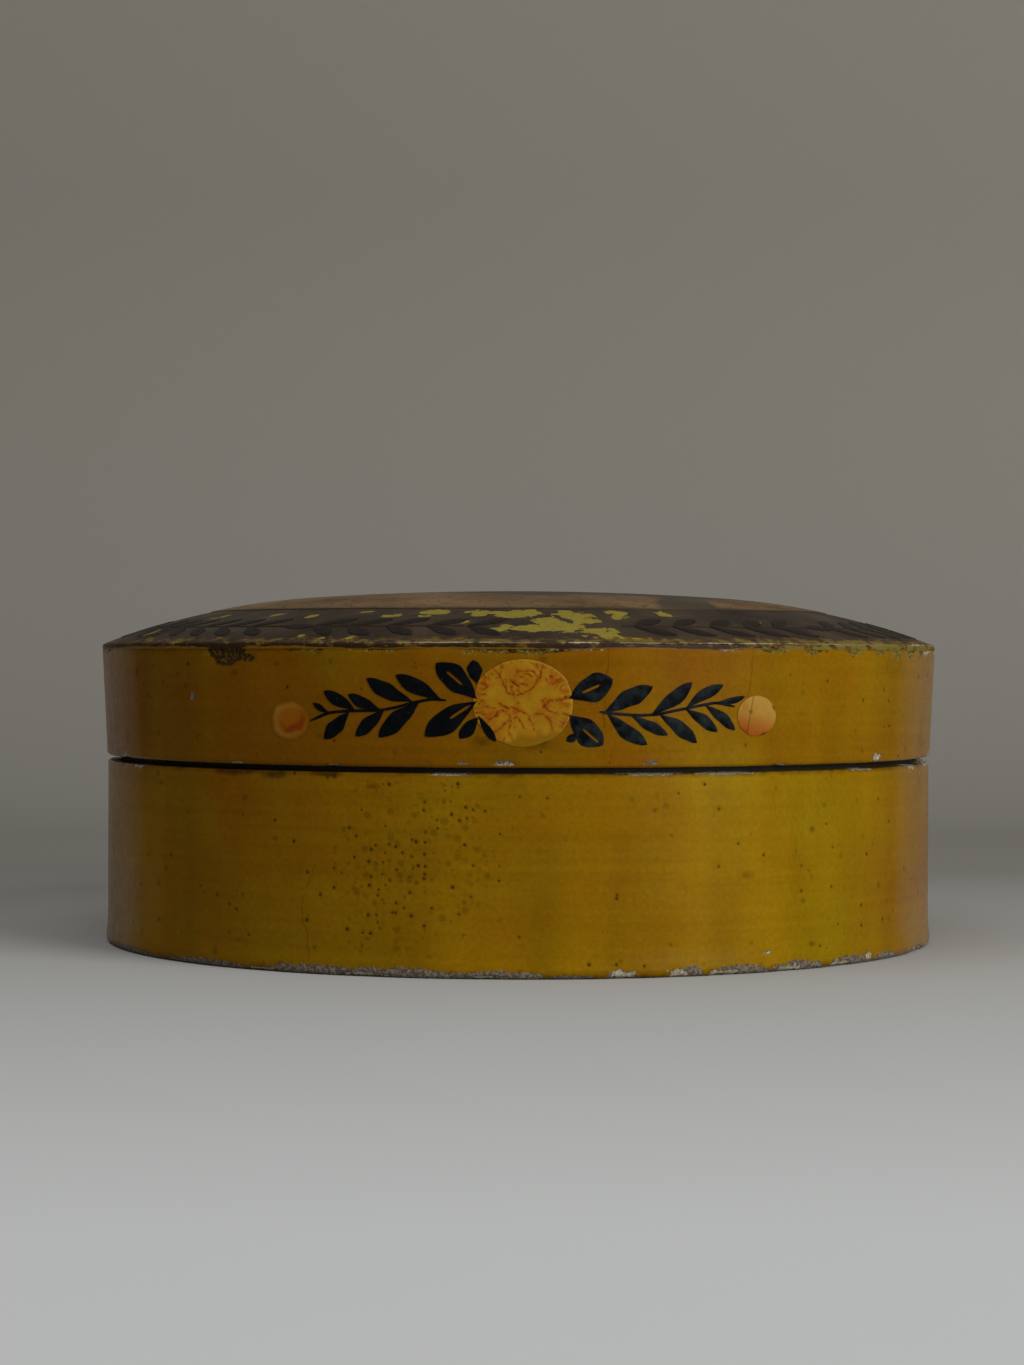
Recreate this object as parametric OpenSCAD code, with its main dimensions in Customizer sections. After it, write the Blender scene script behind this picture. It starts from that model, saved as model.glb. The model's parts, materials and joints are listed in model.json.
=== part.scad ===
// Round papier-mache box with a lift-off lid and pasted cut-paper ornament.
// Millimetres. The origin is the middle of the underside, +Z is up and the front faces -Y.

/* [Base] */
// Outside diameter of the base wall
base_d = 108.5; // [96:0.5:124]
// Height of the base wall
base_h = 23.7; // [16:0.1:40]
// Thickness of the pasted base wall
base_wall_t = 1.75; // [1.2:0.05:2.4]
// How far the foot stands out past the base wall
foot_spread = 0.2; // [0.1:0.05:0.6]
// Height of the upright band at the foot
foot_band = 1; // [0.8:0.1:2]
// Height at which the spread of the foot has run out
foot_h = 3; // [2.5:0.1:8]
// Rounding of the foot
foot_round = 0.6; // [0.2:0.05:0.7]
// Rounding of the upper edge of the base wall
base_edge_round = 0.35; // [0.1:0.05:0.6]

/* [Floor] */
// Thickness of the floor disc
floor_t = 2; // [1:0.1:4]
// How far the floor is set up from the foot
floor_rise = 0.5; // [0.3:0.1:2]

/* [Collar] */
// Thickness of the collar that the lid fits over
collar_t = 1.5; // [1:0.1:2.5]
// Rounding of the outer upper edge of the collar
collar_round = 0.4; // [0.1:0.05:0.8]
// Bare rim of the collar above its lining
collar_bare = 0.5; // [0.2:0.1:3]

/* [Lid] */
// Height of the lid wall
lid_wall_h = 13.7; // [12:0.1:24]
// Thickness of the lid wall at its lower edge
lid_wall_t = 1.4; // [1:0.05:2.4]
// How far the lid wall leans out from its lower edge to the crown
lid_lean = 0.6; // [0:0.05:1.5]
// Height of the upright band at the lower edge of the lid
lid_band = 1.2; // [1.1:0.1:2]
// Rounding of the lower edge of the lid
lid_edge_round = 1; // [0.2:0.05:1]
// Open seam between the lid and the base wall
seam_gap = 0.6; // [0.3:0.05:2]
// Clearance between the collar and the lining of the lid
lid_clear = 0.35; // [0.3:0.05:0.8]

/* [Crown] */
// Height of the edge of the crown above the lid wall
crown_edge_h = 0.7; // [0.5:0.1:2]
// Rise of the dome above that edge
crown_rise = 7; // [6:0.1:12]
// Radius of the flatter middle of the dome
crown_flat_r = 28; // [16:0.5:32]
// Radius of curvature of that middle
crown_mid_radius = 400; // [300:5:600]
// Thickness of the pressed board of the dome
crown_t = 2; // [1.4:0.1:2.2]
// Rounding of the shoulder between dome and edge
shoulder_round = 0.5; // [0.1:0.05:0.5]
// How far the flat rim of the crown reaches in past the collar that it seats on
seat_margin = 2.4; // [2:0.1:4]

/* [Paper] */
// Thickness of the lining paper
lining_t = 0.15; // [0.1:0.01:0.25]
// Thickness of the pasted cut-outs
cutout_t = 0.12; // [0.08:0.01:0.25]
// Gap between neighbouring cut-outs
cutout_gap = 0.06; // [0.04:0.01:0.2]

/* [Garland] */
// Length of the garland from fruit to fruit
garland_l = 55; // [40:1:62]
// Height of the middle of the garland above the lower edge of the lid
garland_rise = 7.5; // [6.5:0.1:12]
// How far the garland lies to the right of the front
garland_shift = 0.4; // [-3:0.1:3]
// Thickness of the stems
stem_w = 0.3; // [0.2:0.05:0.6]
// Width of the slit along the midrib of a large leaf
slit_w = 0.35; // [0.2:0.05:0.6]
// Width of the rosette
rosette_w = 11.4; // [8:0.1:12]
// Height of the rosette
rosette_h = 10; // [7:0.1:10.2]
// Radius of the flatter scissor cuts over and under the rosette
rosette_cut_r = 6.6; // [6:0.1:10]
// Radius of a fruit
fruit_r = 2.35; // [1.5:0.05:3]

/* [Crown ornament] */
// Diameter of the round pasted panel on the dome
panel_d = 82; // [60:1:88]
// Least gap between the panel and the leaves of the wreath
panel_gap = 0.5; // [0.2:0.1:3]
// How far the ring of the wreath lies in from the edge of the lid
wreath_inset = 5.8; // [5.6:0.1:7]
// Number of sprigs in the wreath
sprigs = 9; // [6:1:9]
// Pairs of leaves on a sprig
sprig_pairs = 6; // [4:1:6]
// Length of a leaf of the wreath
wreath_leaf_l = 5.4; // [3.5:0.1:5.8]
// Width of a leaf of the wreath
wreath_leaf_w = 1.7; // [1:0.1:2]
// Angle between a leaf of the wreath and its stem
wreath_leaf_angle = 36; // [25:1:40]

/* [Hidden] */
$fn = 128;

ochre = "#b88a35";
board = "#a98a5c";
aged_paper = "#d9c7a0";
leaf_green = "#1d2822";
brown = "#3b2a1c";
// Segments on the preview of a very large arc, and how far a cut runs past what it cuts.
large_arc = 720;
over = 1;

base_r = base_d / 2;
bore_r = base_r - base_wall_t;
foot_r = base_r + foot_spread;
floor_top = floor_rise + floor_t;
collar_in_r = bore_r - collar_t;

lid_z = base_h + seam_gap;
lid_top = lid_z + lid_wall_h;
lid_in_r = bore_r + lid_clear + lining_t;
lid_low_r = lid_in_r + lid_wall_t;
lid_r = lid_low_r + lid_lean;
collar_top = lid_top - lining_t;
seat_in_r = collar_in_r - seat_margin;
garland_z = lid_z + garland_rise;
wreath_r = lid_r - wreath_inset;
wreath_in_r = wreath_r - wreath_leaf_l * sin(wreath_leaf_angle) - wreath_leaf_w / 2;

// The dome is a basket-handle arch: a flat middle arc, and a shoulder arc that runs on from it.
apex = lid_top + crown_edge_h + crown_rise;
flat_angle = asin(crown_flat_r / crown_mid_radius);
flat_dir = [sin(flat_angle), cos(flat_angle)];
mid_centre = [0, apex - crown_mid_radius];
joint_point = mid_centre + crown_mid_radius * flat_dir;
to_rim = [lid_r, lid_top + crown_edge_h] - joint_point;
side_radius = -(to_rim * to_rim) / (2 * to_rim * flat_dir);
side_centre = joint_point - side_radius * flat_dir;
shoulder_x = lid_r - shoulder_round;
shoulder_dx = shoulder_x - side_centre.x;
shoulder_reach = side_radius - shoulder_round;
shoulder_dz = sqrt(pow(shoulder_reach, 2) - pow(shoulder_dx, 2));
shoulder_centre = [shoulder_x, side_centre.y + shoulder_dz];

// The garland is drawn in hundredths of its length, from the middle of the rosette. A stem runs to the left.
left_stem = [
    [-16, 0.5], [-19, 0.8], [-23, 0], [-26.5, -1], [-30, -1.7], [-36, -1.8], [-41, -2.2], [-45, -4]
];
right_stem = [
    [45, -0.8], [41, 0.1], [38, -0.4], [31.5, -1.7], [28, -2.4], [24, -2.6], [18, -2.1], [16, -1.8]
];
// How wide the ends of a stem are, as a share of its width.
stem_end_share = 0.5;

// Each leaf: where its foot is, which way it points, its length and its width.
left_leaves = [
    [-41, -2.2, 150, 4, 1.2], [-35.2, -1.7, 150, 8, 2.5], [-30, -1.4, 156, 7.5, 2.3],
    [-23, 0.2, 154, 11, 3.1], [-17, 0.6, 152, 11, 3.1],
    [-36.6, -2, 227, 8, 2.9], [-29, -1.4, 223, 8.5, 2.7], [-21.6, 0.2, 221, 11.5, 3.5],
    [-9.6, 4, 100, 5, 2.9], [-9.6, -2.6, 225, 6, 2.9], [-9.4, -2.6, 305, 6.6, 2]
];
left_large = [[-9.6, 0.8, 139, 11.4, 4.8], [-9.6, 0.4, 215, 13.2, 5.4]];
right_leaves = [
    [17, -2, 28, 11.6, 3.5], [27, -2.4, 38, 11, 2.9], [34.4, -1, 31, 9.4, 2.3], [41, 0.1, 11, 6.4, 1.3],
    [17.6, -2.1, 322, 10.8, 2.9], [22.6, -2.5, 332, 9, 2.1], [28.6, -2.3, 323, 10.2, 2.7],
    [34.2, -1.2, 325, 8.6, 2.3], [38.4, -0.4, 321, 8.6, 2.1], [11.8, -6.6, 205, 3, 1.6]
];
right_large = [[9.6, 1, 24, 10, 5.4], [9.6, -2.4, 318, 9.6, 5]];
fruit_at = [[-49.6, -4], [49.9, -2.8]];
// How far a leaf runs back across its stem, as a share of the garland.
root_share = 0.01;
leaf_root = root_share * garland_l;
// Where a leaf is widest, as a share of its length from the foot.
leaf_widest_share = 0.6;
// Where the slit of a large leaf starts and ends, as shares of the leaf.
slit_span = [0.34, 0.78];

function hundredths(v) = v * garland_l / 100;

// Cuts an outer corner to a rounding whose centre is the origin.
module corner_cut(r) {
    difference() {
        square(r + over);
        circle(r);
    }
}

module tube(inner, outer, z0, z1) {
    translate([0, 0, z0]) difference() {
        cylinder(r = outer, h = z1 - z0);
        translate([0, 0, -over]) cylinder(r = inner, h = z1 - z0 + 2 * over);
    }
}

// The half section under the dome, or under a dome that lies outside it by grow.
module under_dome(grow, z0, r_end) {
    split = (crown_mid_radius + grow) * sin(flat_angle);
    intersection() {
        translate(mid_centre) circle(crown_mid_radius + grow, $fn = large_arc);
        translate([0, z0]) square([split, apex - z0 + over]);
    }
    intersection() {
        translate(side_centre) circle(side_radius + grow, $fn = large_arc);
        translate([split, z0]) square([r_end - split, apex - z0 + over]);
    }
}

module shoulder_cut() {
    reach = 3 * shoulder_round;
    along = (shoulder_centre - side_centre) / shoulder_reach;
    translate(shoulder_centre) difference() {
        polygon([[0, 0], [reach, 0], [reach, reach], reach * along]);
        circle(shoulder_round);
    }
}

// A leaf along +X: two equal arcs that meet at its foot, cut round at its tip.
module leaf(length, width) {
    half_w = width / 2;
    widest = leaf_widest_share * length;
    arc = (widest * widest + half_w * half_w) / width;
    difference() {
        translate([widest, 0]) intersection() {
            translate([0, arc - half_w]) circle(arc);
            translate([0, half_w - arc]) circle(arc);
        }
        translate([length - half_w, 0]) difference() {
            translate([0, -width]) square([length, 2 * width]);
            circle(half_w);
        }
    }
}

module leaf_row(rows) {
    for (row = rows)
        translate([hundredths(row[0]), hundredths(row[1])])
            rotate(row[2])
                translate([-leaf_root, 0])
                    leaf(hundredths(row[3]) + leaf_root, hundredths(row[4]));
}

module slit_leaf_row(rows) {
    for (row = rows)
        translate([hundredths(row[0]), hundredths(row[1])])
            rotate(row[2])
                difference() {
                    leaf(hundredths(row[3]), hundredths(row[4]));
                    translate([hundredths(row[3]) * slit_span[0], 0])
                        leaf(hundredths(row[3]) * (slit_span[1] - slit_span[0]), slit_w);
                }
}

// A ribbon along the points of a stem, finer at its two ends.
module stem(points) {
    last = len(points) - 1;
    p = [for (q = points) [hundredths(q.x), hundredths(q.y)]];
    half = [for (i = [0:last]) stem_w / 2 * (i == 0 || i == last ? stem_end_share : 1)];
    upper = [for (i = [0:last]) p[i] + [0, half[i]]];
    lower = [for (i = [last:-1:0]) p[i] - [0, half[i]]];
    polygon(concat(upper, lower));
}

// A round print cut out with scissors: flatter above and below than at its sides.
module rosette_outline(grow) {
    cut_at = rosette_cut_r - rosette_h / 2;
    intersection() {
        circle(rosette_w / 2 + grow);
        translate([0, cut_at]) circle(rosette_cut_r + grow);
        translate([0, -cut_at]) circle(rosette_cut_r + grow);
    }
}

module fruit(place) {
    translate([hundredths(place.x), hundredths(place.y)]) circle(fruit_r);
}

// Cuts a flat outline out of a thin skin that lies on the leaning front of the lid wall.
module on_lid_wall() {
    intersection() {
        rotate([90, 0, 0]) linear_extrude(lid_r + over) translate([garland_shift, garland_z]) children();
        rotate_extrude() polygon([
            [lid_low_r, lid_z + lid_band], [lid_low_r + cutout_t, lid_z + lid_band],
            [lid_r + cutout_t, lid_top], [lid_r, lid_top]
        ]);
    }
}

// Cuts a flat outline out of a thin skin that lies on the dome.
module on_crown(r_end) {
    intersection() {
        translate([0, 0, lid_top]) linear_extrude(apex - lid_top + over) children();
        rotate_extrude() difference() {
            under_dome(cutout_t, lid_top, r_end);
            under_dome(0, lid_top - over, r_end + over);
        }
    }
}

// One sprig, whose leaves stand along the ring of the wreath.
module sprig() {
    step = 360 / sprigs / (sprig_pairs + 1);
    for (i = [0:sprig_pairs - 1]) rotate(i * step) translate([wreath_r, 0]) {
        for (side = [-1, 1]) rotate(90 + side * wreath_leaf_angle) leaf(wreath_leaf_l, wreath_leaf_w);
    }
    rotate(sprig_pairs * step) translate([wreath_r, 0]) rotate(90) leaf(wreath_leaf_l, wreath_leaf_w);
}

module base_wall() {
    color(ochre) rotate_extrude() difference() {
        polygon([
            [bore_r, 0], [foot_r, 0], [foot_r, foot_band],
            [base_r, foot_h], [base_r, base_h], [bore_r, base_h]
        ]);
        translate([foot_r - foot_round, foot_round]) mirror([0, 1]) corner_cut(foot_round);
        translate([base_r - base_edge_round, base_h - base_edge_round]) corner_cut(base_edge_round);
    }
}

module base_floor() {
    color(board) translate([0, 0, floor_rise]) cylinder(r = bore_r, h = floor_t);
}

module underside_paper() {
    color(brown) translate([0, 0, floor_rise - lining_t]) cylinder(r = bore_r, h = lining_t);
}

module neck_collar() {
    color(board) rotate_extrude() difference() {
        translate([collar_in_r, floor_top]) square([collar_t, collar_top - floor_top]);
        translate([bore_r - collar_round, collar_top - collar_round]) corner_cut(collar_round);
    }
}

module collar_lining() {
    color(aged_paper)
        tube(collar_in_r - lining_t, collar_in_r, floor_top + lining_t, collar_top - collar_bare);
}

module floor_lining() {
    color(aged_paper) translate([0, 0, floor_top]) cylinder(r = collar_in_r, h = lining_t);
}

module lid_wall() {
    color(ochre) rotate_extrude() difference() {
        polygon([
            [lid_in_r, lid_z], [lid_low_r, lid_z], [lid_low_r, lid_z + lid_band],
            [lid_r, lid_top], [lid_in_r, lid_top]
        ]);
        translate([lid_low_r - lid_edge_round, lid_z + lid_edge_round])
            mirror([0, 1]) corner_cut(lid_edge_round);
    }
}

module lid_crown() {
    color(brown) rotate_extrude() difference() {
        under_dome(0, lid_top, lid_r);
        under_dome(-crown_t, lid_top - over, seat_in_r);
        shoulder_cut();
    }
}

module lid_wall_lining() {
    color(aged_paper) tube(lid_in_r - lining_t, lid_in_r, lid_z + lid_edge_round, lid_top - lining_t);
}

module lid_crown_lining() {
    low = lid_top - lining_t;
    color(aged_paper) rotate_extrude() difference() {
        union() {
            under_dome(-crown_t, low, seat_in_r);
            translate([0, low]) square([lid_in_r, lining_t]);
        }
        under_dome(-crown_t - lining_t, low - over, seat_in_r - lining_t);
    }
}

module rosette_cutout() {
    color(aged_paper) on_lid_wall() rosette_outline(0);
}

module left_leaf_cutouts() {
    color(leaf_green) on_lid_wall() difference() {
        union() {
            stem(left_stem);
            leaf_row(left_leaves);
            slit_leaf_row(left_large);
        }
        rosette_outline(cutout_gap);
    }
}

module right_leaf_cutouts() {
    color(leaf_green) on_lid_wall() difference() {
        union() {
            stem(right_stem);
            leaf_row(right_leaves);
            slit_leaf_row(right_large);
        }
        rosette_outline(cutout_gap);
    }
}

module left_fruit_cutout() {
    color(ochre) on_lid_wall() fruit(fruit_at[0]);
}

module right_fruit_cutout() {
    color(ochre) on_lid_wall() fruit(fruit_at[1]);
}

module crown_leaf_cutouts() {
    color(leaf_green) on_crown(lid_r) {
        difference() {
            circle(wreath_r + stem_w / 2);
            circle(wreath_r - stem_w / 2);
        }
        for (i = [0:sprigs - 1]) rotate(i * 360 / sprigs) sprig();
    }
}

module crown_panel() {
    reach = min(panel_d / 2, wreath_in_r - panel_gap);
    color(aged_paper) on_crown(lid_r) circle(reach);
}

base_wall();
base_floor();
underside_paper();
neck_collar();
collar_lining();
floor_lining();
lid_wall();
lid_crown();
lid_wall_lining();
lid_crown_lining();
rosette_cutout();
left_leaf_cutouts();
right_leaf_cutouts();
left_fruit_cutout();
right_fruit_cutout();
crown_leaf_cutouts();
crown_panel();
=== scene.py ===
# %% [markdown]
# # A round papier-mache box with cut-paper ornament
# The real box is a ring of wound and pasted paper with a floor, an inner collar that the lid slips over,
# and a lid made of a second ring and a pressed dome. It was painted ochre and brown, pasted with cut-out
# paper leaves, flowers and fruit, and varnished. Time has chipped its edges and pricked its paint.
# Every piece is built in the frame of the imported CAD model, so each one lands where its solid is.

# %% Load the fixed frame
import json
import math

import bmesh
import bpy
import numpy as np
from mathutils import Matrix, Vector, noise


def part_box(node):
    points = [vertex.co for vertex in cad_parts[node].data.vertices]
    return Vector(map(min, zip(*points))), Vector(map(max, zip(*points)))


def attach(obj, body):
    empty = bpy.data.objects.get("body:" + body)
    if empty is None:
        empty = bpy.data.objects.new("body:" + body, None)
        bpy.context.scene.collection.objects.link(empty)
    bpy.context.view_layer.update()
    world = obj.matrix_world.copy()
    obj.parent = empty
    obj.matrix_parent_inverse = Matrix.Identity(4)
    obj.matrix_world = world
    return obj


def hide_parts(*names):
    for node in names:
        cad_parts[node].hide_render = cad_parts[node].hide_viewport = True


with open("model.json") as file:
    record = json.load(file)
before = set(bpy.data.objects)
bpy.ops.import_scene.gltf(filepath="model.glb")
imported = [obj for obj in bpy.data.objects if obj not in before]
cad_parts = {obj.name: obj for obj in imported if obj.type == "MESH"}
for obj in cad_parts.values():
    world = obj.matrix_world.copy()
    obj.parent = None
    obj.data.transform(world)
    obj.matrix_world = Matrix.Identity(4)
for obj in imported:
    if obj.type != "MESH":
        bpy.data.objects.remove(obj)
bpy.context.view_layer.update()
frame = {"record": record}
MM = 0.001

# %% [markdown]
# ## The camera
# The box was photographed from the front, with the eye just below the rim of the lid. A perspective fit of
# the curved edges gives the distance, the eye height and the focal length in pixels of the picture. The
# camera could be aimed with a constraint, but a plain matrix also holds the slight roll of the picture.

# %% Set the camera
PICTURE_TALL = 1365
FOCAL_PX = 2887
EYE_LEVEL_PX = 660.1
ROLL = 0.0026
eye_mm = (-0.87, -385.4, 36.72)
look_down = math.atan((PICTURE_TALL / 2 - EYE_LEVEL_PX) / FOCAL_PX)
scene = bpy.context.scene
camera_data = bpy.data.cameras.new("picture_camera")
camera_data.sensor_width = 36
camera_data.lens = FOCAL_PX / PICTURE_TALL * camera_data.sensor_width
camera_data.clip_start = 0.01
camera = bpy.data.objects.new("picture_camera", camera_data)
scene.collection.objects.link(camera)
upright_view = Matrix.Rotation(math.pi / 2 - look_down, 4, "X")
camera.matrix_world = (
    Matrix.Translation([v * MM for v in eye_mm]) @ upright_view @ Matrix.Rotation(ROLL, 4, "Z")
)
scene.camera = camera
scene.view_settings.view_transform = "Standard"
print("lens", round(camera_data.lens, 2), "mm, looking down", round(math.degrees(look_down), 2), "degrees")

# %% [markdown]
# ## Shader helpers
# Colours are written as sRGB hex values, as a colour picker shows them. Blender mixes light in linear
# values, so one function converts. One more function adds a node, sets or links its inputs and returns one
# output. Inputs go by name or by place: a Map Range takes its value, the span it comes from and the span it
# goes to, and a Mix of colours takes its share at 0 and its colours at 6 and 7. Pattern sizes are given in
# millimetres: a texture's Scale is one over the size in metres.

# %% Colour and node helpers
def colour(code):
    channels = [int(code[i:i + 2], 16) / 255 for i in (1, 3, 5)]
    linear = [c / 12.92 if c <= 0.04045 else ((c + 0.055) / 1.055) ** 2.4 for c in channels]
    return (*linear, 1.0)


def every(size_mm):
    return 1 / (size_mm * MM)


def fit(tree, node, inputs):
    for name, value in inputs.items():
        if isinstance(value, bpy.types.NodeSocket):
            tree.links.new(value, node.inputs[name])
        else:
            node.inputs[name].default_value = value


def add(tree, kind, output, inputs, **settings):
    made = tree.nodes.new("ShaderNode" + kind)
    for name, value in settings.items():
        setattr(made, name, value)
    fit(tree, made, inputs)
    return made.outputs[output]


print("orange paper in linear light:", [round(v, 3) for v in colour("#b98433")])


# %% Surface helpers
def new_surface(name, marks=()):
    """A material, where its patterns lie, and sockets for the wear that the points of a piece store."""
    material = bpy.data.materials.new(name)
    material.use_nodes = True
    tree = material.node_tree
    place = add(tree, "TexCoord", "Object", {})
    stored = {mark: add(tree, "Attribute", "Fac", {}, attribute_name=mark) for mark in marks}
    return material, tree, tree.nodes["Principled BSDF"], place, stored


def pattern(tree, at, size_mm, span, result=(0, 1), detail=3, grit=0.5):
    """Clouds of a real size: raw, and stretched so that the span becomes the result."""
    clouds = {"Vector": at, "Scale": every(size_mm), "Detail": detail, "Roughness": grit}
    raw = add(tree, "TexNoise", 0, clouds)
    return raw, add(tree, "MapRange", 0, {0: raw, 1: span[0], 2: span[1], 3: result[0], 4: result[1]})


def dress(tree, shader, tone, rough, gloss, relief, strength, depth_mm):
    """Gives a surface its colour, its shine and its relief."""
    bump = add(tree, "Bump", 0, {"Height": relief, "Strength": strength, "Distance": depth_mm * MM})
    fit(tree, shader, {"Base Color": tone, "Roughness": rough, "Specular IOR Level": gloss, "Normal": bump})


# Most of what a cloud pattern gives lies in this span.
MIDTONES = (0.3, 0.7)
print("clouds of 1 mm need a Scale of", round(every(1)))

# %% [markdown]
# ## Floor, backdrop and light
# The box stands on a pale sheet that bends up behind it, so that no hard horizon crosses the picture. One
# soft lamp at the right stands for the window. A ceiling lamp and a grey world fill the shadow side to about
# a third of the lit side. From behind and from under, the eye looks through the sheet, so that every side
# of the box can be seen.

# %% Make the stage
FLOOR_BACK = 0.22
BEND = 0.16
SHEET_END = 1.6
HALF_STAGE = 1.8
bend_steps = [math.radians(a) for a in range(0, 91, 6)]
sheet_line = [(-SHEET_END, 0.0)]
sheet_line += [(FLOOR_BACK + BEND * math.sin(a), BEND * (1 - math.cos(a))) for a in bend_steps]
sheet_line += [(FLOOR_BACK + BEND, SHEET_END)]
stage_points = [(x, y, z) for y, z in sheet_line for x in (-HALF_STAGE, HALF_STAGE)]
stage_faces = [(2 * i, 2 * i + 1, 2 * i + 3, 2 * i + 2) for i in range(len(sheet_line) - 1)]
stage_mesh = bpy.data.meshes.new("pale_sheet")
stage_mesh.from_pydata(stage_points, [], stage_faces)
stage_mesh.polygons.foreach_set("use_smooth", [True] * len(stage_faces))
pale_sheet = bpy.data.objects.new("pale_sheet", stage_mesh)
scene.collection.objects.link(pale_sheet)

sheet_material, tree, shader, place, _ = new_surface("matt_paper_backdrop")
# Painted shade: the sheet is palest towards the front and greyer where it goes back and up, where less
# light reaches it.
away = add(tree, "SeparateXYZ", "Y", {0: place})
back = add(tree, "MapRange", 0, {0: away, 1: -0.2, 2: 0.12})
rise = add(tree, "MapRange", 0, {0: away.node.outputs["Z"], 1: 0.0, 2: 0.1})
tone = colour("#d8dad9")
for share, shaded_grey in ((back, "#918e87"), (rise, "#938e85")):
    tone = add(tree, "Mix", 2, {0: share, 6: tone, 7: colour(shaded_grey)}, data_type="RGBA")
behind = add(tree, "NewGeometry", "Backfacing", {})
seen = add(tree, "LightPath", "Is Camera Ray", {})
clear = add(tree, "Math", 0, {0: behind, 1: seen}, operation="MULTIPLY")
solid = add(tree, "Math", 0, {0: 1.0, 1: clear}, operation="SUBTRACT")
fit(tree, shader, {"Base Color": tone, "Roughness": 0.95, "Specular IOR Level": 0.0, "Alpha": solid})
stage_mesh.materials.append(sheet_material)
print("a pale sheet of", len(stage_faces), "faces")


# %% Light it
def soft_lamp(name, azimuth, elevation, distance, size, watts):
    lamp = bpy.data.lights.new(name, "AREA")
    lamp.shape = "RECTANGLE"
    lamp.size, lamp.size_y = size
    lamp.energy = watts
    holder = bpy.data.objects.new(name, lamp)
    scene.collection.objects.link(holder)
    round_axis = Matrix.Rotation(math.radians(azimuth), 4, "Z")
    tipped = Matrix.Rotation(math.radians(90 - elevation), 4, "X")
    holder.matrix_world = round_axis @ tipped @ Matrix.Translation((0, 0, distance))


soft_lamp("window_light", 47, 20, 1.1, (0.6, 0.8), 8.0)
soft_lamp("ceiling_light", -25, 70, 1.2, (1.2, 1.2), 4.5)
world = bpy.data.worlds.new("room_light")
world.use_nodes = True
room = world.node_tree.nodes["Background"]
fit(world.node_tree, room, {"Color": colour("#f4f6fa"), "Strength": 0.14})
scene.world = world
print("a window lamp at the right, a soft ceiling and a grey room")

# %% [markdown]
# ## Turning a ring
# Walls, collar and dome are all round, so each is one outline turned about the axis. A lathe modifier could
# do it, but then no point of the surface could be worn. Building the points with numpy gives every point
# its azimuth, radius and height, and wear can push it in along the outline's own normal.

# %% Outlines
def bow(centre, radius, start, end, count):
    angles = np.radians(np.linspace(start, end, count))
    return [(centre[0] + radius * math.cos(a), centre[1] + radius * math.sin(a)) for a in angles]


def walk(corners, step):
    """Points along straight lines, no further apart than a step."""
    line = []
    for here, there in zip(corners[:-1], corners[1:]):
        count = max(1, math.ceil(math.dist(here, there) / step))
        for i in range(count):
            line.append([a + (b - a) * i / count for a, b in zip(here, there)])
    return line + [list(corners[-1])]


def box_mm(node):
    """Lowest and highest corner of a piece of the CAD model."""
    return [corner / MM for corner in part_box(node)]


print("the box is", round(box_mm("lid_crown")[1].z, 2), "mm high to the crown")


# %% Turned points and their wear
def turned(outline, segments):
    outline = np.array(outline, float)
    ahead = np.roll(outline, -1, 0) - np.roll(outline, 1, 0)
    outward = np.stack([ahead[:, 1], -ahead[:, 0]], 1)
    outward /= np.linalg.norm(outward, axis=1)[:, None]
    azimuth = (np.arange(segments) * 2 * np.pi / segments - np.pi)[:, None] + np.zeros(len(outline))
    radius = outline[None, :, 0] + 0 * azimuth
    height = outline[None, :, 1] + 0 * azimuth
    return azimuth, radius, height, outward


def round_points(azimuth, radius, height):
    return np.stack([radius * np.sin(azimuth), -radius * np.cos(azimuth), height], -1)


def worn_points(shape, worn_in, shown, low, high):
    """Points pressed in along their normals where they show, and kept between two heights."""
    azimuth, radius, height, outward = shape
    press = np.minimum(worn_in, 0) * (np.arange(radius.shape[1]) < shown)
    radius = np.maximum(radius + press * outward[:, 0] * (radius > 0), 0)
    return round_points(azimuth, radius, np.clip(height + press * outward[:, 1], low, high))


def ring_faces(segments, count):
    s, p = np.meshgrid(np.arange(segments), np.arange(count), indexing="ij")
    s_next = (s + 1) % segments
    p_next = (p + 1) % count
    corners = [s * count + p, s_next * count + p, s_next * count + p_next, s * count + p_next]
    return np.stack(corners, -1).reshape(-1, 4)


def ripple(points, size_mm, shift):
    spots = (points / size_mm + shift).reshape(-1, 3).tolist()
    return np.reshape([noise.noise(p) for p in spots], points.shape[:-1])


print("a ring of 960 steps and 90 points has", len(ring_faces(960, 90)), "faces")

# %% [markdown]
# ## Placing a piece
# A piece is a mesh that rides on the same body as its CAD solid and stands in for it. Wear goes with the
# points as named values, which the material reads. Points that fall together, such as those in the middle
# of a dome, are joined, and edges sharper than 50 degrees stay sharp.

# %% Make a piece
record = frame["record"]
body_of_node = {n: body for body, nodes in record["behaviour"]["bodies"].items() for n in nodes}
SAME_POINT = 1e-8
SHARP_EDGE = math.radians(50)


def make_piece(name, points, faces, node, material, marks, flat_map=None):
    mesh = bpy.data.meshes.new(name)
    mesh.from_pydata((points.reshape(-1, 3) * MM).tolist(), [], [[int(v) for v in face] for face in faces])
    for mark, values in marks.items():
        layer = mesh.attributes.new(mark, "FLOAT", "POINT")
        layer.data.foreach_set("value", np.ravel(values).astype(np.float32))
    if flat_map is not None:
        mesh.uv_layers.new(name="OFBake").data.foreach_set("uv", np.ravel(flat_map).astype(np.float32))
    shape = bmesh.new()
    shape.from_mesh(mesh)
    bmesh.ops.remove_doubles(shape, verts=shape.verts, dist=SAME_POINT)
    shape.to_mesh(mesh)
    shape.free()
    mesh.polygons.foreach_set("use_smooth", [True] * len(mesh.polygons))
    mesh.set_sharp_from_angle(angle=SHARP_EDGE)
    mesh.materials.append(material)
    piece = bpy.data.objects.new(name, mesh)
    scene.collection.objects.link(piece)
    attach(piece, body_of_node[node])
    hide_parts(node)
    print(name, "stands for", node, "with", len(mesh.polygons), "faces")


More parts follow.
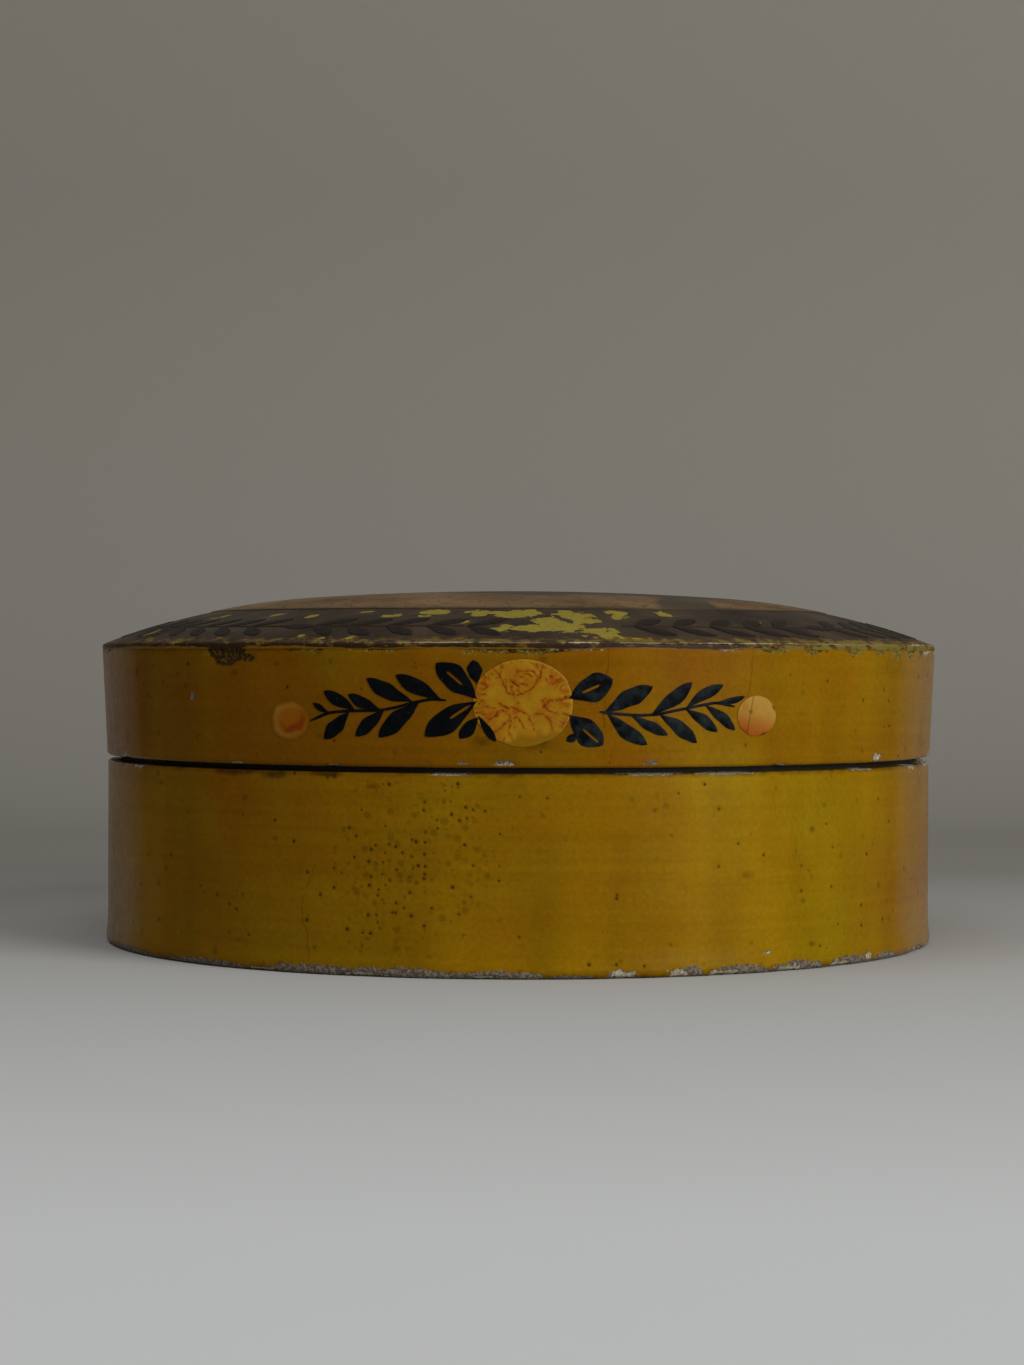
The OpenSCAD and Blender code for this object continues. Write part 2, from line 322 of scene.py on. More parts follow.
# %% [markdown]
# ## Unrolling a wall for the finish
# A wall is far longer than it is high. Laid out in one strip, its finish would use a thin slice of the
# square map that a model is exported with. Cutting the strip into a few rows fills the square, so the same
# map holds finer marks. The faces that never show share a thin band at the top.

# %% Helper that lays out a ring
MAP_BAND = 0.95
SIDE_GAP = 0.01
ROW_GAP = 0.004
ROW_FILL = 0.96
HIDDEN_BAND = 0.04
BAND_GAP = 0.005
MAP_PX = 1024
ROW_CHOICES = (1, 2, 3, 4, 5, 6, 8)


def strip_rows(outline, shown, segments):
    outline = np.array(outline, float)
    lengths = np.linalg.norm(np.roll(outline, -1, 0) - outline, axis=1)
    run = np.concatenate([[0], np.cumsum(lengths)])
    girth = 2 * np.pi * outline[:, 0].max()
    wide = (1 - 2 * SIDE_GAP) / girth
    tall = ROW_FILL * MAP_BAND / run[shown]
    scale, rows = max((min(wide * n, tall / n), n) for n in ROW_CHOICES)
    per_row = segments // rows
    s, p = np.meshgrid(np.arange(segments), np.arange(len(outline)), indexing="ij")
    row = s // per_row
    hidden = p >= shown
    corners = []
    for ds, dp in ((0, 0), (1, 0), (1, 1), (0, 1)):
        u = SIDE_GAP + (s - row * per_row + ds) * girth / segments * scale
        v = row * MAP_BAND / rows + ROW_GAP + run[p + dp] * scale
        share = (run[p + dp] - run[shown]) / (run[-1] - run[shown])
        u = np.where(hidden, (s + ds) / segments, u)
        v = np.where(hidden, MAP_BAND + BAND_GAP + HIDDEN_BAND * share, v)
        corners.append(np.stack([u, v], -1))
    print("laid out in", rows, "rows,", round(MAP_PX * scale, 1), "texels to a millimetre")
    return np.stack(corners, 2).reshape(-1, 2)


print("a wall may be cut into up to", max(ROW_CHOICES), "rows")

# %% [markdown]
# ## Marks of wear
# Chips, pricks and stains sit at known places on the front, and old boxes are worn the same way all round.
# Each mark is an oval on the unrolled wall, given by the distance round the wall from the front, its height
# and its half sizes. A point stores how deep it lies inside a mark. The material breaks that soft value up
# with fine noise, so that an edge looks torn and not like an oval. A picture of the wear would be quicker,
# but marks as numbers stay sharp at any size.

# %% Ovals on a wall
dice = np.random.default_rng(17)


def marked(wall, ovals, grow=0.0):
    """How deep each point lies in the ovals. A wall is its points' way round, their height and its girth."""
    along, height, girth = wall
    depth = np.zeros(along.shape)
    for at, up, half_w, half_h in ovals:
        gap = (along - at + girth / 2) % girth - girth / 2
        depth = np.maximum(depth, 1 + grow - np.hypot(gap / half_w, (height - up) / half_h))
    return depth


def at_front(spots, radius):
    """Spots whose first number is measured across the front, moved to the way round the wall."""
    return [(radius * math.asin(x / radius), *rest) for x, *rest in spots]


def scattered(wall, count, clear, heights, half_w, half_h):
    """Random ovals round a wall, clear of the front by a distance, since the front has its own."""
    spans = ((clear, wall[2] - clear), heights, half_w, half_h)
    return [tuple(dice.uniform(*span) for span in spans) for _ in range(count)]


print("wear is seeded, so every run gives the same marks")


# %% Cracks and soft stretches
FAR_OFF = 9.0


def crack_lines(wall, lines):
    """Distance of each point from the nearest crack, with its side."""
    along, height, _ = wall
    across = np.full(along.shape, FAR_OFF)
    nearest = np.full(along.shape, np.inf)
    for (a0, h0), (a1, h1) in lines:
        run = np.array([a1 - a0, h1 - h0])
        length = np.linalg.norm(run)
        run /= length
        gone = (along - a0) * run[0] + (height - h0) * run[1]
        side = (along - a0) * run[1] - (height - h0) * run[0]
        beyond = np.maximum(0, np.maximum(-gone, gone - length))
        far = np.hypot(side, beyond)
        closer = far < nearest
        # Past its ends a crack runs out quickly.
        across = np.where(closer, side + np.sign(side) * 4 * beyond, across)
        nearest = np.where(closer, far, nearest)
    return across


def stretch(azimuth, start, fade_in, end, fade_out):
    """1 along a stretch of the wall and 0 beyond it, with soft ends."""
    return np.clip((azimuth - start) / fade_in, 0, 1) * np.clip((end - azimuth) / fade_out, 0, 1)


def browning_and_side_shade(azimuth, middle, left, right, far_right):
    """Browned varnish and painted side shade: darker at the left and far right, clear at right front."""
    side = np.sin(azimuth)
    end = np.clip((side - 0.72) / 0.15, 0, 1)
    return middle - left * side - right * np.clip(side, 0, 1) + far_right * end


print("a stretch at its middle and beyond:", stretch(np.array([0.0, 2.0]), -1, 0.3, 1, 0.3))

# %% [markdown]
# ## Finish: ochre oil paint on pasted paper under satin varnish
# Ochre paint was brushed round the turning ring, so its streaks run level. The varnish over it yellowed in
# clouds, brown here and olive there, and ran down in broad bands. The left and the far right are painted
# darker and browner as painted side shade, and the bands also stand in as painted sheen. To the eye this
# gives a deep saturated yellow with a soft sheen towards the edges of the form. A flat colour would look
# like plastic, so each layer is a pattern of its own size.

# %% Ochre: colour, brush and grain
OCHRE = "#927107"
OCHRE_BROWN = "#875604"
OCHRE_OLIVE = "#8a700c"
WALL_MARKS = ("browned_and_side_shade", "pitted", "cracked", "soiled_and_shaded", "knocked", "crumbled", "scuffed", "chipped")
ochre_lacquer, tree, shader, place, mark = new_surface("ochre_paint_under_satin_varnish", WALL_MARKS)
# The brown share rises at the left and the far right: partly browned varnish, partly painted side shade.
_, brown = pattern(tree, place, 21, (0.40, 0.68), (0, 0.5), 4, 0.6)
brown = add(tree, "Math", 0, {0: brown, 1: mark["browned_and_side_shade"]}, operation="ADD", use_clamp=True)
moved = add(tree, "Mapping", 0, {"Vector": place, "Location": (0.31, 0.12, 0.4)})
_, olive = pattern(tree, moved, 14, (0.48, 0.70), (0, 0.45))
tone = colour(OCHRE)
for share, over in ((brown, OCHRE_BROWN), (olive, OCHRE_OLIVE)):
    tone = add(tree, "Mix", 2, {0: share, 6: tone, 7: colour(over)}, data_type="RGBA")

# A brush lays streaks about a millimetre apart and some 40 mm long. Varnish ran in upright bands of about
# 9 mm, and their lighter stripes also serve as painted sheen, soft window reflections in the varnish. The
# grain of the paper and the dust in the varnish are about 0.5 mm.
level = add(tree, "Mapping", 0, {"Vector": place, "Scale": (1, 1, 40)})
streaks, streak_tone = pattern(tree, level, 40, MIDTONES, (0.93, 1.06))
upright = add(tree, "Mapping", 0, {"Vector": place, "Scale": (1, 1, 0.16)})
_, band_and_sheen_tone = pattern(tree, upright, 9, MIDTONES, (0.86, 1.14), 2)
grain, grain_tone = pattern(tree, place, 0.5, MIDTONES, (0.90, 1.08))
# Where the browned value is high the paint is darker too: painted side shade at the left and far right.
shade = add(tree, "MapRange", 0, {0: mark["browned_and_side_shade"], 3: 1.02, 4: 0.75})
for part in (streak_tone, band_and_sheen_tone, grain_tone):
    shade = add(tree, "Math", 0, {0: shade, 1: part}, operation="MULTIPLY")
tone = add(tree, "VectorMath", 0, {0: tone, "Scale": shade}, operation="SCALE")
print("ochre has", len(tree.nodes), "nodes so far")

# %% [markdown]
# ## Pinholes and cracks in the ochre
# Air trapped under the paint left pinholes: dots of 0.2 to 0.5 mm, and rings of about 0.8 mm where a bubble
# burst and left its rim. They could be modelled, but there are hundreds. A cell pattern holds at most one
# in each cell, where the stored share allows it. Cracks follow a stored distance, made to waver by noise.

# %% Ochre: pinholes, cracks and stains
# A kind of hole: its cell in mm, radii as shares of a cell, where its edge fades, how dark its middle is.
HOLE_KINDS = [
    (0.8, (0.14, 0.34), (0.6, 1.0), (1.0, 1.0)),
    (1.3, (0.15, 0.28), (0.8, 1.1), (0.1, 0.5)),
]
hole = 0.0
for cell_mm, sizes, fading, middle in HOLE_KINDS:
    cells = add(tree, "TexVoronoi", "Distance", {"Vector": place, "Scale": every(cell_mm)})
    lot = add(tree, "SeparateColor", 0, {0: cells.node.outputs["Color"]})
    chosen = add(tree, "Math", 0, {0: lot, 1: mark["pitted"]}, operation="LESS_THAN")
    hole_r = add(tree, "MapRange", 0, {0: lot.node.outputs[1], 3: sizes[0], 4: sizes[1]})
    from_middle = add(tree, "Math", 0, {0: cells, 1: hole_r}, operation="DIVIDE")
    dot = add(tree, "MapRange", 0, {0: from_middle, 1: fading[0], 2: fading[1], 3: 1.0, 4: 0.0})
    inner = add(tree, "MapRange", 0, {0: from_middle, 1: 0.4, 2: 0.75, 3: middle[0], 4: middle[1]})
    stain = add(tree, "MapRange", 0, {0: from_middle, 1: 0.8, 2: 2.0, 3: 0.32, 4: 0.0})
    for other, way in ((inner, "MULTIPLY"), (stain, "MAXIMUM"), (chosen, "MULTIPLY"), (hole, "MAXIMUM")):
        dot = add(tree, "Math", 0, {0: dot, 1: other}, operation=way)
    hole = dot
hole_share = add(tree, "Math", 0, {0: hole, 1: 0.8}, operation="MULTIPLY")

_, waver = pattern(tree, place, 2.2, (0, 1), (-0.9, 0.9), 2)
across = add(tree, "Math", 0, {0: mark["cracked"], 1: waver}, operation="ADD")
across = add(tree, "Math", 0, {0: across}, operation="ABSOLUTE")
crack = add(tree, "MapRange", 0, {0: across, 1: 0.03, 2: 0.11, 3: 0.42, 4: 0.0})
# Stains and grime gathered in patches of about 1.6 mm, and at the foot the same value paints a contact
# shadow. The varnish is duller in the patches too.
patchy, rough = pattern(tree, place, 1.6, MIDTONES, (0.22, 0.36), 4)
soil_and_shade = add(tree, "Math", 0, {0: mark["soiled_and_shaded"], 1: patchy}, operation="MULTIPLY")
soil_and_shade = add(tree, "MapRange", 0, {0: soil_and_shade, 1: 0.12, 2: 0.5, 3: 0.0, 4: 0.85})
print("pinholes of", len(HOLE_KINDS), "kinds, dots and burst rings")

# %% [markdown]
# ## Broken edges of the ochre
# Where an edge is knocked, speckled board shows, brown and grey. Along the rim the paint crumbled to olive
# and straw with dark gaps. Rubbing wore the lowest edge down to grey-brown board, and chips go down to a
# pale filler of chalk and glue, with a dark worn fringe. All of them are one idea: a stored depth, torn up
# by noise and then cut off sharply.

# %% Ochre: torn edges
def torn_share(tree, depth, edge, pull, span, most=1.0, gate=0.1):
    """Where a mark breaks through: its depth, torn up by noise, and nothing outside its gate."""
    torn = add(tree, "Math", 0, {0: edge, 1: pull, 2: depth}, operation="MULTIPLY_ADD")
    share = add(tree, "MapRange", 0, {0: torn, 1: span[0], 2: span[1], 4: most})
    if gate:
        inside = add(tree, "MapRange", 0, {0: depth, 2: gate})
        share = add(tree, "Math", 0, {0: share, 1: inside}, operation="MULTIPLY")
    return share


_, torn_edge = pattern(tree, place, 1.1, (0.25, 0.75), (-0.75, 0.75), 5, 0.65)
bare = torn_share(tree, mark["knocked"], torn_edge, 0.2, (0.20, 0.28), gate=0.12)
crumb = torn_share(tree, mark["crumbled"], torn_edge, 1.0, (0.15, 0.27), gate=0.12)
scuff = torn_share(tree, mark["scuffed"], torn_edge, 0.3, (0.26, 0.40))
fringe = torn_share(tree, mark["chipped"], torn_edge, 1.0, (0.16, 0.28), 0.55)
chip = torn_share(tree, mark["chipped"], torn_edge, 1.0, (0.30, 0.36))
_, specks = pattern(tree, place, 0.35, (0.42, 0.62))
speckled = [("#32230d", "#5e4821"), ("#5c4e18", "#867740"), ("#594f42", "#85796a"), ("#8f836a", "#b6ae9b")]
board, straw, grey, chalk = [
    add(tree, "Mix", 2, {0: specks, 6: colour(dark), 7: colour(light)}, data_type="RGBA")
    for dark, light in speckled
]
bare_rim = add(tree, "MapRange", 0, {0: mark["knocked"], 1: 0.26, 2: 0.40, 3: 0.6, 4: 0.0})
board = add(tree, "Mix", 2, {0: bare_rim, 6: board, 7: colour("#1c1206")}, data_type="RGBA")
gaps = add(tree, "MapRange", 0, {0: patchy, 1: 0.54, 2: 0.62, 3: 0.0, 4: 0.9})
straw = add(tree, "Mix", 2, {0: gaps, 6: straw, 7: colour("#2b2410")}, data_type="RGBA")
print("five kinds of broken edge over", len(speckled), "speckled grounds")

# %% Ochre: lay the coats, shine and relief
coats = [
    (hole_share, colour("#2a1a04")), (crack, colour("#2e1c04")), (soil_and_shade, colour("#3a2405")), (bare, board),
    (crumb, straw), (scuff, grey), (fringe, colour("#3e2c0a")), (chip, chalk),
]
for share, over in coats:
    tone = add(tree, "Mix", 2, {0: share, 6: tone, 7: over}, data_type="RGBA")
lost = 0.0
for gone in (bare, chip, crumb, scuff):
    lost = add(tree, "Math", 0, {0: gone, 1: lost}, operation="MAXIMUM")
rough = add(tree, "Mix", 0, {0: lost, 2: rough, 3: 0.9})
# Worn varnish is dull seen straight on and shines at a low angle.
grazing = add(tree, "LayerWeight", "Facing", {"Blend": 0.5})
gloss = add(tree, "MapRange", 0, {0: grazing, 1: 0.60, 2: 0.71, 3: 0.025, 4: 0.3})
relief = 0.0
for part, weight in ((lost, -1.2), (hole, -1.6), (streaks, 0.25), (grain, 0.22), (specks, lost)):
    relief = add(tree, "Math", 0, {0: part, 1: weight, 2: relief}, operation="MULTIPLY_ADD")
dress(tree, shader, tone, rough, gloss, relief, 0.5, 0.12)
VARNISH_IOR = 1.5
shader.inputs["IOR"].default_value = VARNISH_IOR
print("ochre finish ready with", len(tree.nodes), "nodes")

# %% [markdown]
# ## The base wall
# The base is a ring of paper wound on a form, a little wider at its foot where the glue thickened it. Its
# lower edge stood on tables for years and is chipped to the chalk ground, and its upper edge is rubbed by
# the lid. A plain tube could stand for it, but it has no rounded foot and too few points to wear. Here the
# ring is one closed outline, fine outside and coarse inside where it never shows.

# %% Base wall: outline
FOOT_SPREAD = 0.2
FOOT_ROUND = 0.6
FOOT_BAND = (1.0, 3.0)
TOP_ROUND = 0.35
WALL_SEGMENTS = 960
foot_r = box_mm("base_wall")[1].x
base_h = box_mm("base_wall")[1].z
base_r = foot_r - FOOT_SPREAD
floor_r = box_mm("base_floor")[1].x
outer = bow((foot_r - FOOT_ROUND, FOOT_ROUND), FOOT_ROUND, -90, 0, 7)
outer += walk([(foot_r, FOOT_BAND[0]), (base_r, FOOT_BAND[1]), (base_r, base_h - TOP_ROUND)], 0.34)
outer += bow((base_r - TOP_ROUND, base_h - TOP_ROUND), TOP_ROUND, 6, 90, 6)
base_line = outer + walk([(floor_r, base_h), (floor_r, 0.0)], 4.0) + [((floor_r + foot_r) / 2, 0.0)]
shape = turned(base_line, WALL_SEGMENTS)
azimuth, radius, height, _ = shape
wall = (azimuth * base_r, height, 2 * np.pi * base_r)
print("base wall of", round(base_r, 2), "mm radius,", len(outer), "points outside")

# %% Base wall: wear
front_chips = [
    (12.0, 0.4, 1.9, 0.7), (18.4, 0.5, 1.5, 0.9), (24.0, 0.3, 3.0, 0.5), (31.5, 0.3, 3.0, 0.5),
    (38.5, 0.3, 3.0, 0.5), (42.6, 0.9, 1.3, 0.5), (29.3, 2.4, 0.8, 0.35), (-30.0, 0.2, 3.0, 0.3),
    (-18.0, 0.2, 4.0, 0.4), (-4.0, 0.2, 3.5, 0.3), (-7.6, base_h, 3.4, 0.36), (15.0, base_h, 6.0, 0.28),
    (24.5, base_h, 5.0, 0.32), (-47.5, base_h, 2.0, 0.5), (42.0, base_h, 3.0, 0.4),
]
chips = at_front(front_chips, base_r)
chips += scattered(wall, 24, 62, (0.1, 0.5), (1.0, 3.4), (0.4, 0.9))
chips += scattered(wall, 20, 62, (base_h - 0.1, base_h), (1.2, 5.0), (0.3, 0.7))
chips += scattered(wall, 7, 70, (2.0, base_h - 2), (0.4, 1.1), (0.3, 0.6))
front_scuffs = [
    (-24.0, 0.2, 9.0, 1.5), (-14.0, 0.2, 10.0, 1.5), (-3.0, 0.2, 9.0, 1.2), (-38.0, 0.2, 12.0, 1.0),
    (-48.0, 0.2, 9.0, 0.8), (6.0, 0.0, 5.0, 0.7), (12.0, 0.2, 2.6, 1.2), (19.5, 0.2, 3.4, 1.6),
    (26.0, 0.2, 6.0, 1.4), (33.0, 0.2, 6.0, 1.5), (40.0, 0.2, 6.0, 1.5), (45.0, 0.2, 5.0, 1.2),
]
scuffs = at_front(front_scuffs, base_r) + scattered(wall, 30, 62, (0.0, 0.3), (3.0, 9.0), (0.7, 1.5))
pits = at_front([(-11.6, 14.5, 11.5, 11.0), (-15.5, 9.0, 8.0, 7.0)], base_r)
pits += scattered(wall, 5, 75, (4.0, base_h - 4), (7.0, 14.0), (5.0, 9.0))
front_stains = [
    (35.1, 3.0, 1.1, 0.7), (-34.0, base_h - 0.4, 3.6, 0.8), (-29.0, base_h - 0.6, 2.6, 0.8),
    (-22.5, base_h - 0.3, 2.6, 0.6), (-17.0, base_h - 1.6, 1.6, 0.7),
]
stains = at_front(front_stains, base_r) + scattered(wall, 16, 20, (1.0, base_h - 1), (0.6, 2.6), (0.4, 1.2))
bruises = scattered(wall, 4, 75, (0.0, 2.0), (1.5, 3.0), (1.0, 1.8))
front_cracks = [((-25.5, 9.4), (-24.4, 1.9)), ((-25.5, 9.4), (-23.5, 12.7))]
cracks = [at_front(ends, base_r) for ends in front_cracks]
cracks += [((120.0, base_h), (123.0, 11.0)), ((-135.0, 0.0), (-131.0, 9.0))]
print(len(chips), "chips,", len(scuffs), "scuffs,", len(stains), "stains and", len(cracks), "cracks")

# %% Base wall: build it
chipped = marked(wall, chips)
knocked = marked(wall, bruises)
# Darker towards the foot: grime from standing, and a painted contact shadow where the box meets the floor.
foot_dirt_and_contact_shadow = np.clip(1 - height / 1.6, 0, 1)
# The wall is darker towards its top edge, by the seam.
darker_at_top_edge = np.clip(1 - (base_h - height) / 0.9, 0, 1)
base_marks = {
    "chipped": chipped,
    "pitted": 0.035 + 0.9 * np.clip(1.5 * marked(wall, pits), 0, 0.75),
    "soiled_and_shaded": 0.75 * np.maximum(foot_dirt_and_contact_shadow, darker_at_top_edge) + 0.8 * marked(wall, stains),
    "knocked": knocked,
    "cracked": crack_lines(wall, cracks),
    "scuffed": marked(wall, scuffs),
    # Browned varnish, and painted side shade at the left and the far right.
    "browned_and_side_shade": browning_and_side_shade(azimuth, 0.34, 0.32, 0.4, 0.75),
}
# In millimetres: the skin of paint, waves and dents of the paper, and what chips and bruises took away.
smooth = round_points(azimuth, radius, height)
worn_in = -0.05 + 0.035 * ripple(smooth, 26, 3.1) + 0.012 * ripple(smooth, 5, 8.7)
worn_in = worn_in - 0.16 * np.clip(chipped * 1.6, 0, 1) - 0.10 * np.clip(knocked, 0, 1)
make_piece(
    "painted_base_ring", worn_points(shape, worn_in, len(outer), 0, base_h),
    ring_faces(WALL_SEGMENTS, len(base_line)), "base_wall", ochre_lacquer, base_marks,
    strip_rows(base_line, len(outer) - 1, WALL_SEGMENTS),
)

# %% [markdown]
# ## The lid wall
# The ring of the lid leans out a little towards the dome, and its lower edge is rounded from years of being
# pulled off. Its upper edge carries the broken line where ring and dome were pasted together. A half-round
# knock at the left shows the board. The wall stays smooth where the garland is pasted. A scaled copy of
# the base would have the wrong lean and the wrong edges, so the lid gets an outline of its own.

# %% Lid wall: outline
lid_lo, lid_hi = box_mm("lid_wall")
lid_z = lid_lo.z
lid_top = lid_hi.z
lid_r = lid_hi.x
LEAN = 0.6
LOW_BAND = 1.2
EDGE_ROUND = 0.5
lid_low_r = lid_r - LEAN
lid_bore = box_mm("lid_wall_lining")[1].x
outer = bow((lid_low_r - EDGE_ROUND, lid_z + EDGE_ROUND), EDGE_ROUND, -90, 0, 9)
outer += walk([(lid_low_r, lid_z + LOW_BAND), (lid_r, lid_top)], 0.24)
lid_line = outer + walk([(lid_r - 0.4, lid_top), (lid_bore, lid_top), (lid_bore, lid_z)], 4.0)
shape = turned(lid_line, WALL_SEGMENTS)
azimuth, radius, height, outward = shape
outward[len(outer) - 1] = (1, 0)
wall = (azimuth * lid_r, height, 2 * np.pi * lid_r)
print("lid wall from", round(lid_z, 2), "to", round(lid_top, 2), "mm up,", len(outer), "points outside")

# %% Lid wall: wear
front_chips = [
    (44.3, 25.0, 1.5, 0.8), (-1.8, 24.7, 1.6, 0.22), (-22.0, 24.4, 1.6, 0.2), (-34.0, 24.4, 1.2, 0.2),
    (31.0, 24.4, 1.4, 0.2), (24.0, lid_top, 3.0, 0.24), (7.0, lid_top, 4.0, 0.26),
]
chips = at_front(front_chips, lid_r)
chips += scattered(wall, 26, 68, (lid_top - 0.1, lid_top), (1.0, 3.6), (0.3, 0.8))
chips += scattered(wall, 22, 60, (lid_z, lid_z + 0.5), (0.8, 3.0), (0.3, 0.7))
# Crumbs along the rim: the way across the front and the half sizes.
rim_crumbs = [
    (35.4, 2.6, 0.6), (40.4, 2.4, 0.8), (44.4, 1.9, 0.9), (46.8, 1.7, 1.2), (49.0, 1.6, 1.0),
    (50.8, 1.5, 1.3), (52.2, 1.5, 0.9), (30.0, 3.0, 0.4), (-4.0, 3.6, 0.7), (1.6, 3.0, 0.8),
    (-16.0, 5.0, 0.3), (-25.0, 4.0, 0.3),
]
crumbs = at_front([(x, lid_top, w, h) for x, w, h in rim_crumbs], lid_r)
crumbs += scattered(wall, 16, 68, (lid_top - 0.1, lid_top), (1.2, 3.0), (0.5, 1.2))
front_scuffs = [
    (-6.6, 24.9, 1.2, 0.3), (15.3, 24.9, 1.3, 0.3), (-39.5, 32.3, 0.5, 0.8), (-1.9, 24.9, 2.0, 0.6),
]
scuffs = at_front(front_scuffs, lid_r)
front_knocks = [(-34.9, lid_top + 0.3, 3.9, 3.1), (-32.2, lid_top - 1.1, 1.5, 0.6), (1.0, lid_top, 6.4, 0.7)]
knocks = at_front(front_knocks, lid_r)
knocks += scattered(wall, 5, 75, (lid_top - 0.3, lid_top), (1.6, 3.5), (0.8, 1.8))
pits = scattered(wall, 6, 70, (28, 34), (6, 12), (3, 6))
front_stains = [
    (-43.6, 33.9, 0.6, 0.5), (-38.8, 27.6, 0.5, 0.5), (-28.5, 27.0, 0.5, 0.4), (2.0, 27.2, 5.0, 1.4),
    (-4.4, 27.3, 2.6, 1.2), (-39.3, 34.1, 0.4, 0.4), (-28.6, 36.2, 1.0, 0.5), (-47.5, 35.1, 1.3, 1.0),
]
stains = at_front(front_stains, lid_r)
stains += scattered(wall, 14, 60, (lid_z + 2, lid_top - 2), (0.5, 2.4), (0.4, 1.2))
front_cracks = [((10.3, lid_top), (9.6, 29.0)), ((27.5, lid_top), (26.9, 28.0))]
cracks = [at_front(ends, lid_r) for ends in front_cracks]
cracks += [((140.0, lid_top), (138.0, 27.0)), ((-100.0, lid_z), (-97.0, 33.0))]
print(len(chips), "chips,", len(crumbs), "crumbs,", len(knocks), "knocks and", len(stains), "stains")

# %% Lid wall: build it
chipped = marked(wall, chips)
crumbled = marked(wall, crumbs)
knocked = marked(wall, knocks)
rim_grime = np.clip(1 - (lid_top - height) / 0.7, 0, 1)
lip_grime = np.clip(1 - (height - lid_z) / 1.3, 0, 1)
left_half = stretch(azimuth, -1.6, 0.3, -0.2, 0.3)
soiled_and_shaded = np.maximum((0.1 + 0.6 * left_half) * rim_grime, 0.1 * lip_grime)
lid_marks = {
    "chipped": chipped,
    "pitted": 0.035 + 0.3 * np.clip(marked(wall, pits), 0, 1),
    "soiled_and_shaded": soiled_and_shaded + 0.8 * marked(wall, stains),
    "knocked": knocked,
    "cracked": crack_lines(wall, cracks),
    "crumbled": crumbled,
    "scuffed": marked(wall, scuffs),
    # Browned varnish, and painted side shade at the left and the far right.
    "browned_and_side_shade": browning_and_side_shade(azimuth, 0.88, 0.5, 0.36, 0.45),
}
lost_depth = np.clip(np.maximum(chipped, crumbled) * 1.5, 0, 1)
worn_in = -0.03 + 0.02 * ripple(round_points(azimuth, radius, height), 24, 5.3)
worn_in = worn_in - 0.18 * lost_depth - 0.2 * np.clip(knocked * 2, 0, 1)
make_piece(
    "painted_lid_ring", worn_points(shape, worn_in, len(outer), lid_z, lid_top),
    ring_faces(WALL_SEGMENTS, len(lid_line)), "lid_wall", ochre_lacquer, lid_marks,
    strip_rows(lid_line, len(outer) - 1, WALL_SEGMENTS),
)

# %% [markdown]
# ## Finish: dark brown paint on pressed board, flaked to a yellow coat
# The dome was painted yellow first and dark brown over it. The brown has flaked off in ragged islands, so
# each flake shows clear yellow with a sharp edge and a slight step. Along the rim the coat crumbled into
# cream, white and olive crumbs. The varnish on it gives a cool grey sheen at a low angle. A mesh for each
# flake would be slow to place and too clean, so stored depths cut the brown away.

# %% Brown: paint, flakes and rim
CROWN_MARKS = ("flaked", "rim", "seam", "white", "lip", "rust", "overpaint")
brown_lacquer, tree, shader, place, mark = new_surface("brown_paint_flaked_to_yellow", CROWN_MARKS)
clouds, cloud_share = pattern(tree, place, 9, (0.35, 0.68), (0, 1), 5, 0.6)
tone = add(tree, "Mix", 2, {0: cloud_share, 6: colour("#413223"), 7: colour("#251b11")}, data_type="RGBA")
grain, grain_tone = pattern(tree, place, 0.6, MIDTONES, (0.84, 1.12))
tone = add(tree, "VectorMath", 0, {0: tone, "Scale": grain_tone}, operation="SCALE")
# Flakes tear along fibres, in steps of about two millimetres.
_, torn_edge = pattern(tree, place, 2.1, (0.25, 0.75), (-0.8, 0.8), 4, 0.62)
flake_edge = torn_share(tree, mark["flaked"], torn_edge, 1.0, (0.30, 0.38), 0.8)
flake = torn_share(tree, mark["flaked"], torn_edge, 1.0, (0.38, 0.42))
yellow = add(tree, "Mix", 2, {0: grain, 6: colour("#776a22"), 7: colour("#a08e38")}, data_type="RGBA")
# Edges along the rim break up in crumbs of about a millimetre, which lie level.
flat_place = add(tree, "Mapping", 0, {"Vector": place, "Scale": (1, 1, 1.8)})
crumbs, crumb_edge = pattern(tree, flat_place, 1.5, (0.25, 0.75), (-0.8, 0.8), 5, 0.7)
# The upright edge is rusty brown, or ochre where the paint of the wall runs up over it.
over_share = torn_share(tree, mark["overpaint"], crumb_edge, 0.35, (0.35, 0.65), gate=0)
edge_tone = add(tree, "Mix", 2, {0: over_share, 6: colour("#2e1d09"), 7: colour("#7a5205")}, data_type="RGBA")
edge_tone = add(tree, "VectorMath", 0, {0: edge_tone, "Scale": grain_tone}, operation="SCALE")
rust_share = torn_share(tree, mark["rust"], crumb_edge, 0.5, (0.35, 0.6))
# Loose crumbs of olive and straw lie above it.
olive = torn_share(tree, mark["rim"], crumb_edge, 1.0, (0.24, 0.40), 0.9)
straw = torn_share(tree, mark["rim"], crumb_edge, 1.0, (0.54, 0.64))
# The shoulder is rubbed to a thin cream line, white in a few short stretches.
cream = torn_share(tree, mark["lip"], crumb_edge, 0.6, (0.42, 0.60), gate=0)
pale = add(tree, "Mix", 2, {0: mark["white"], 6: colour("#7f6c50"), 7: colour("#b7ae9c")}, data_type="RGBA")
print("brown has", len(tree.nodes), "nodes so far")

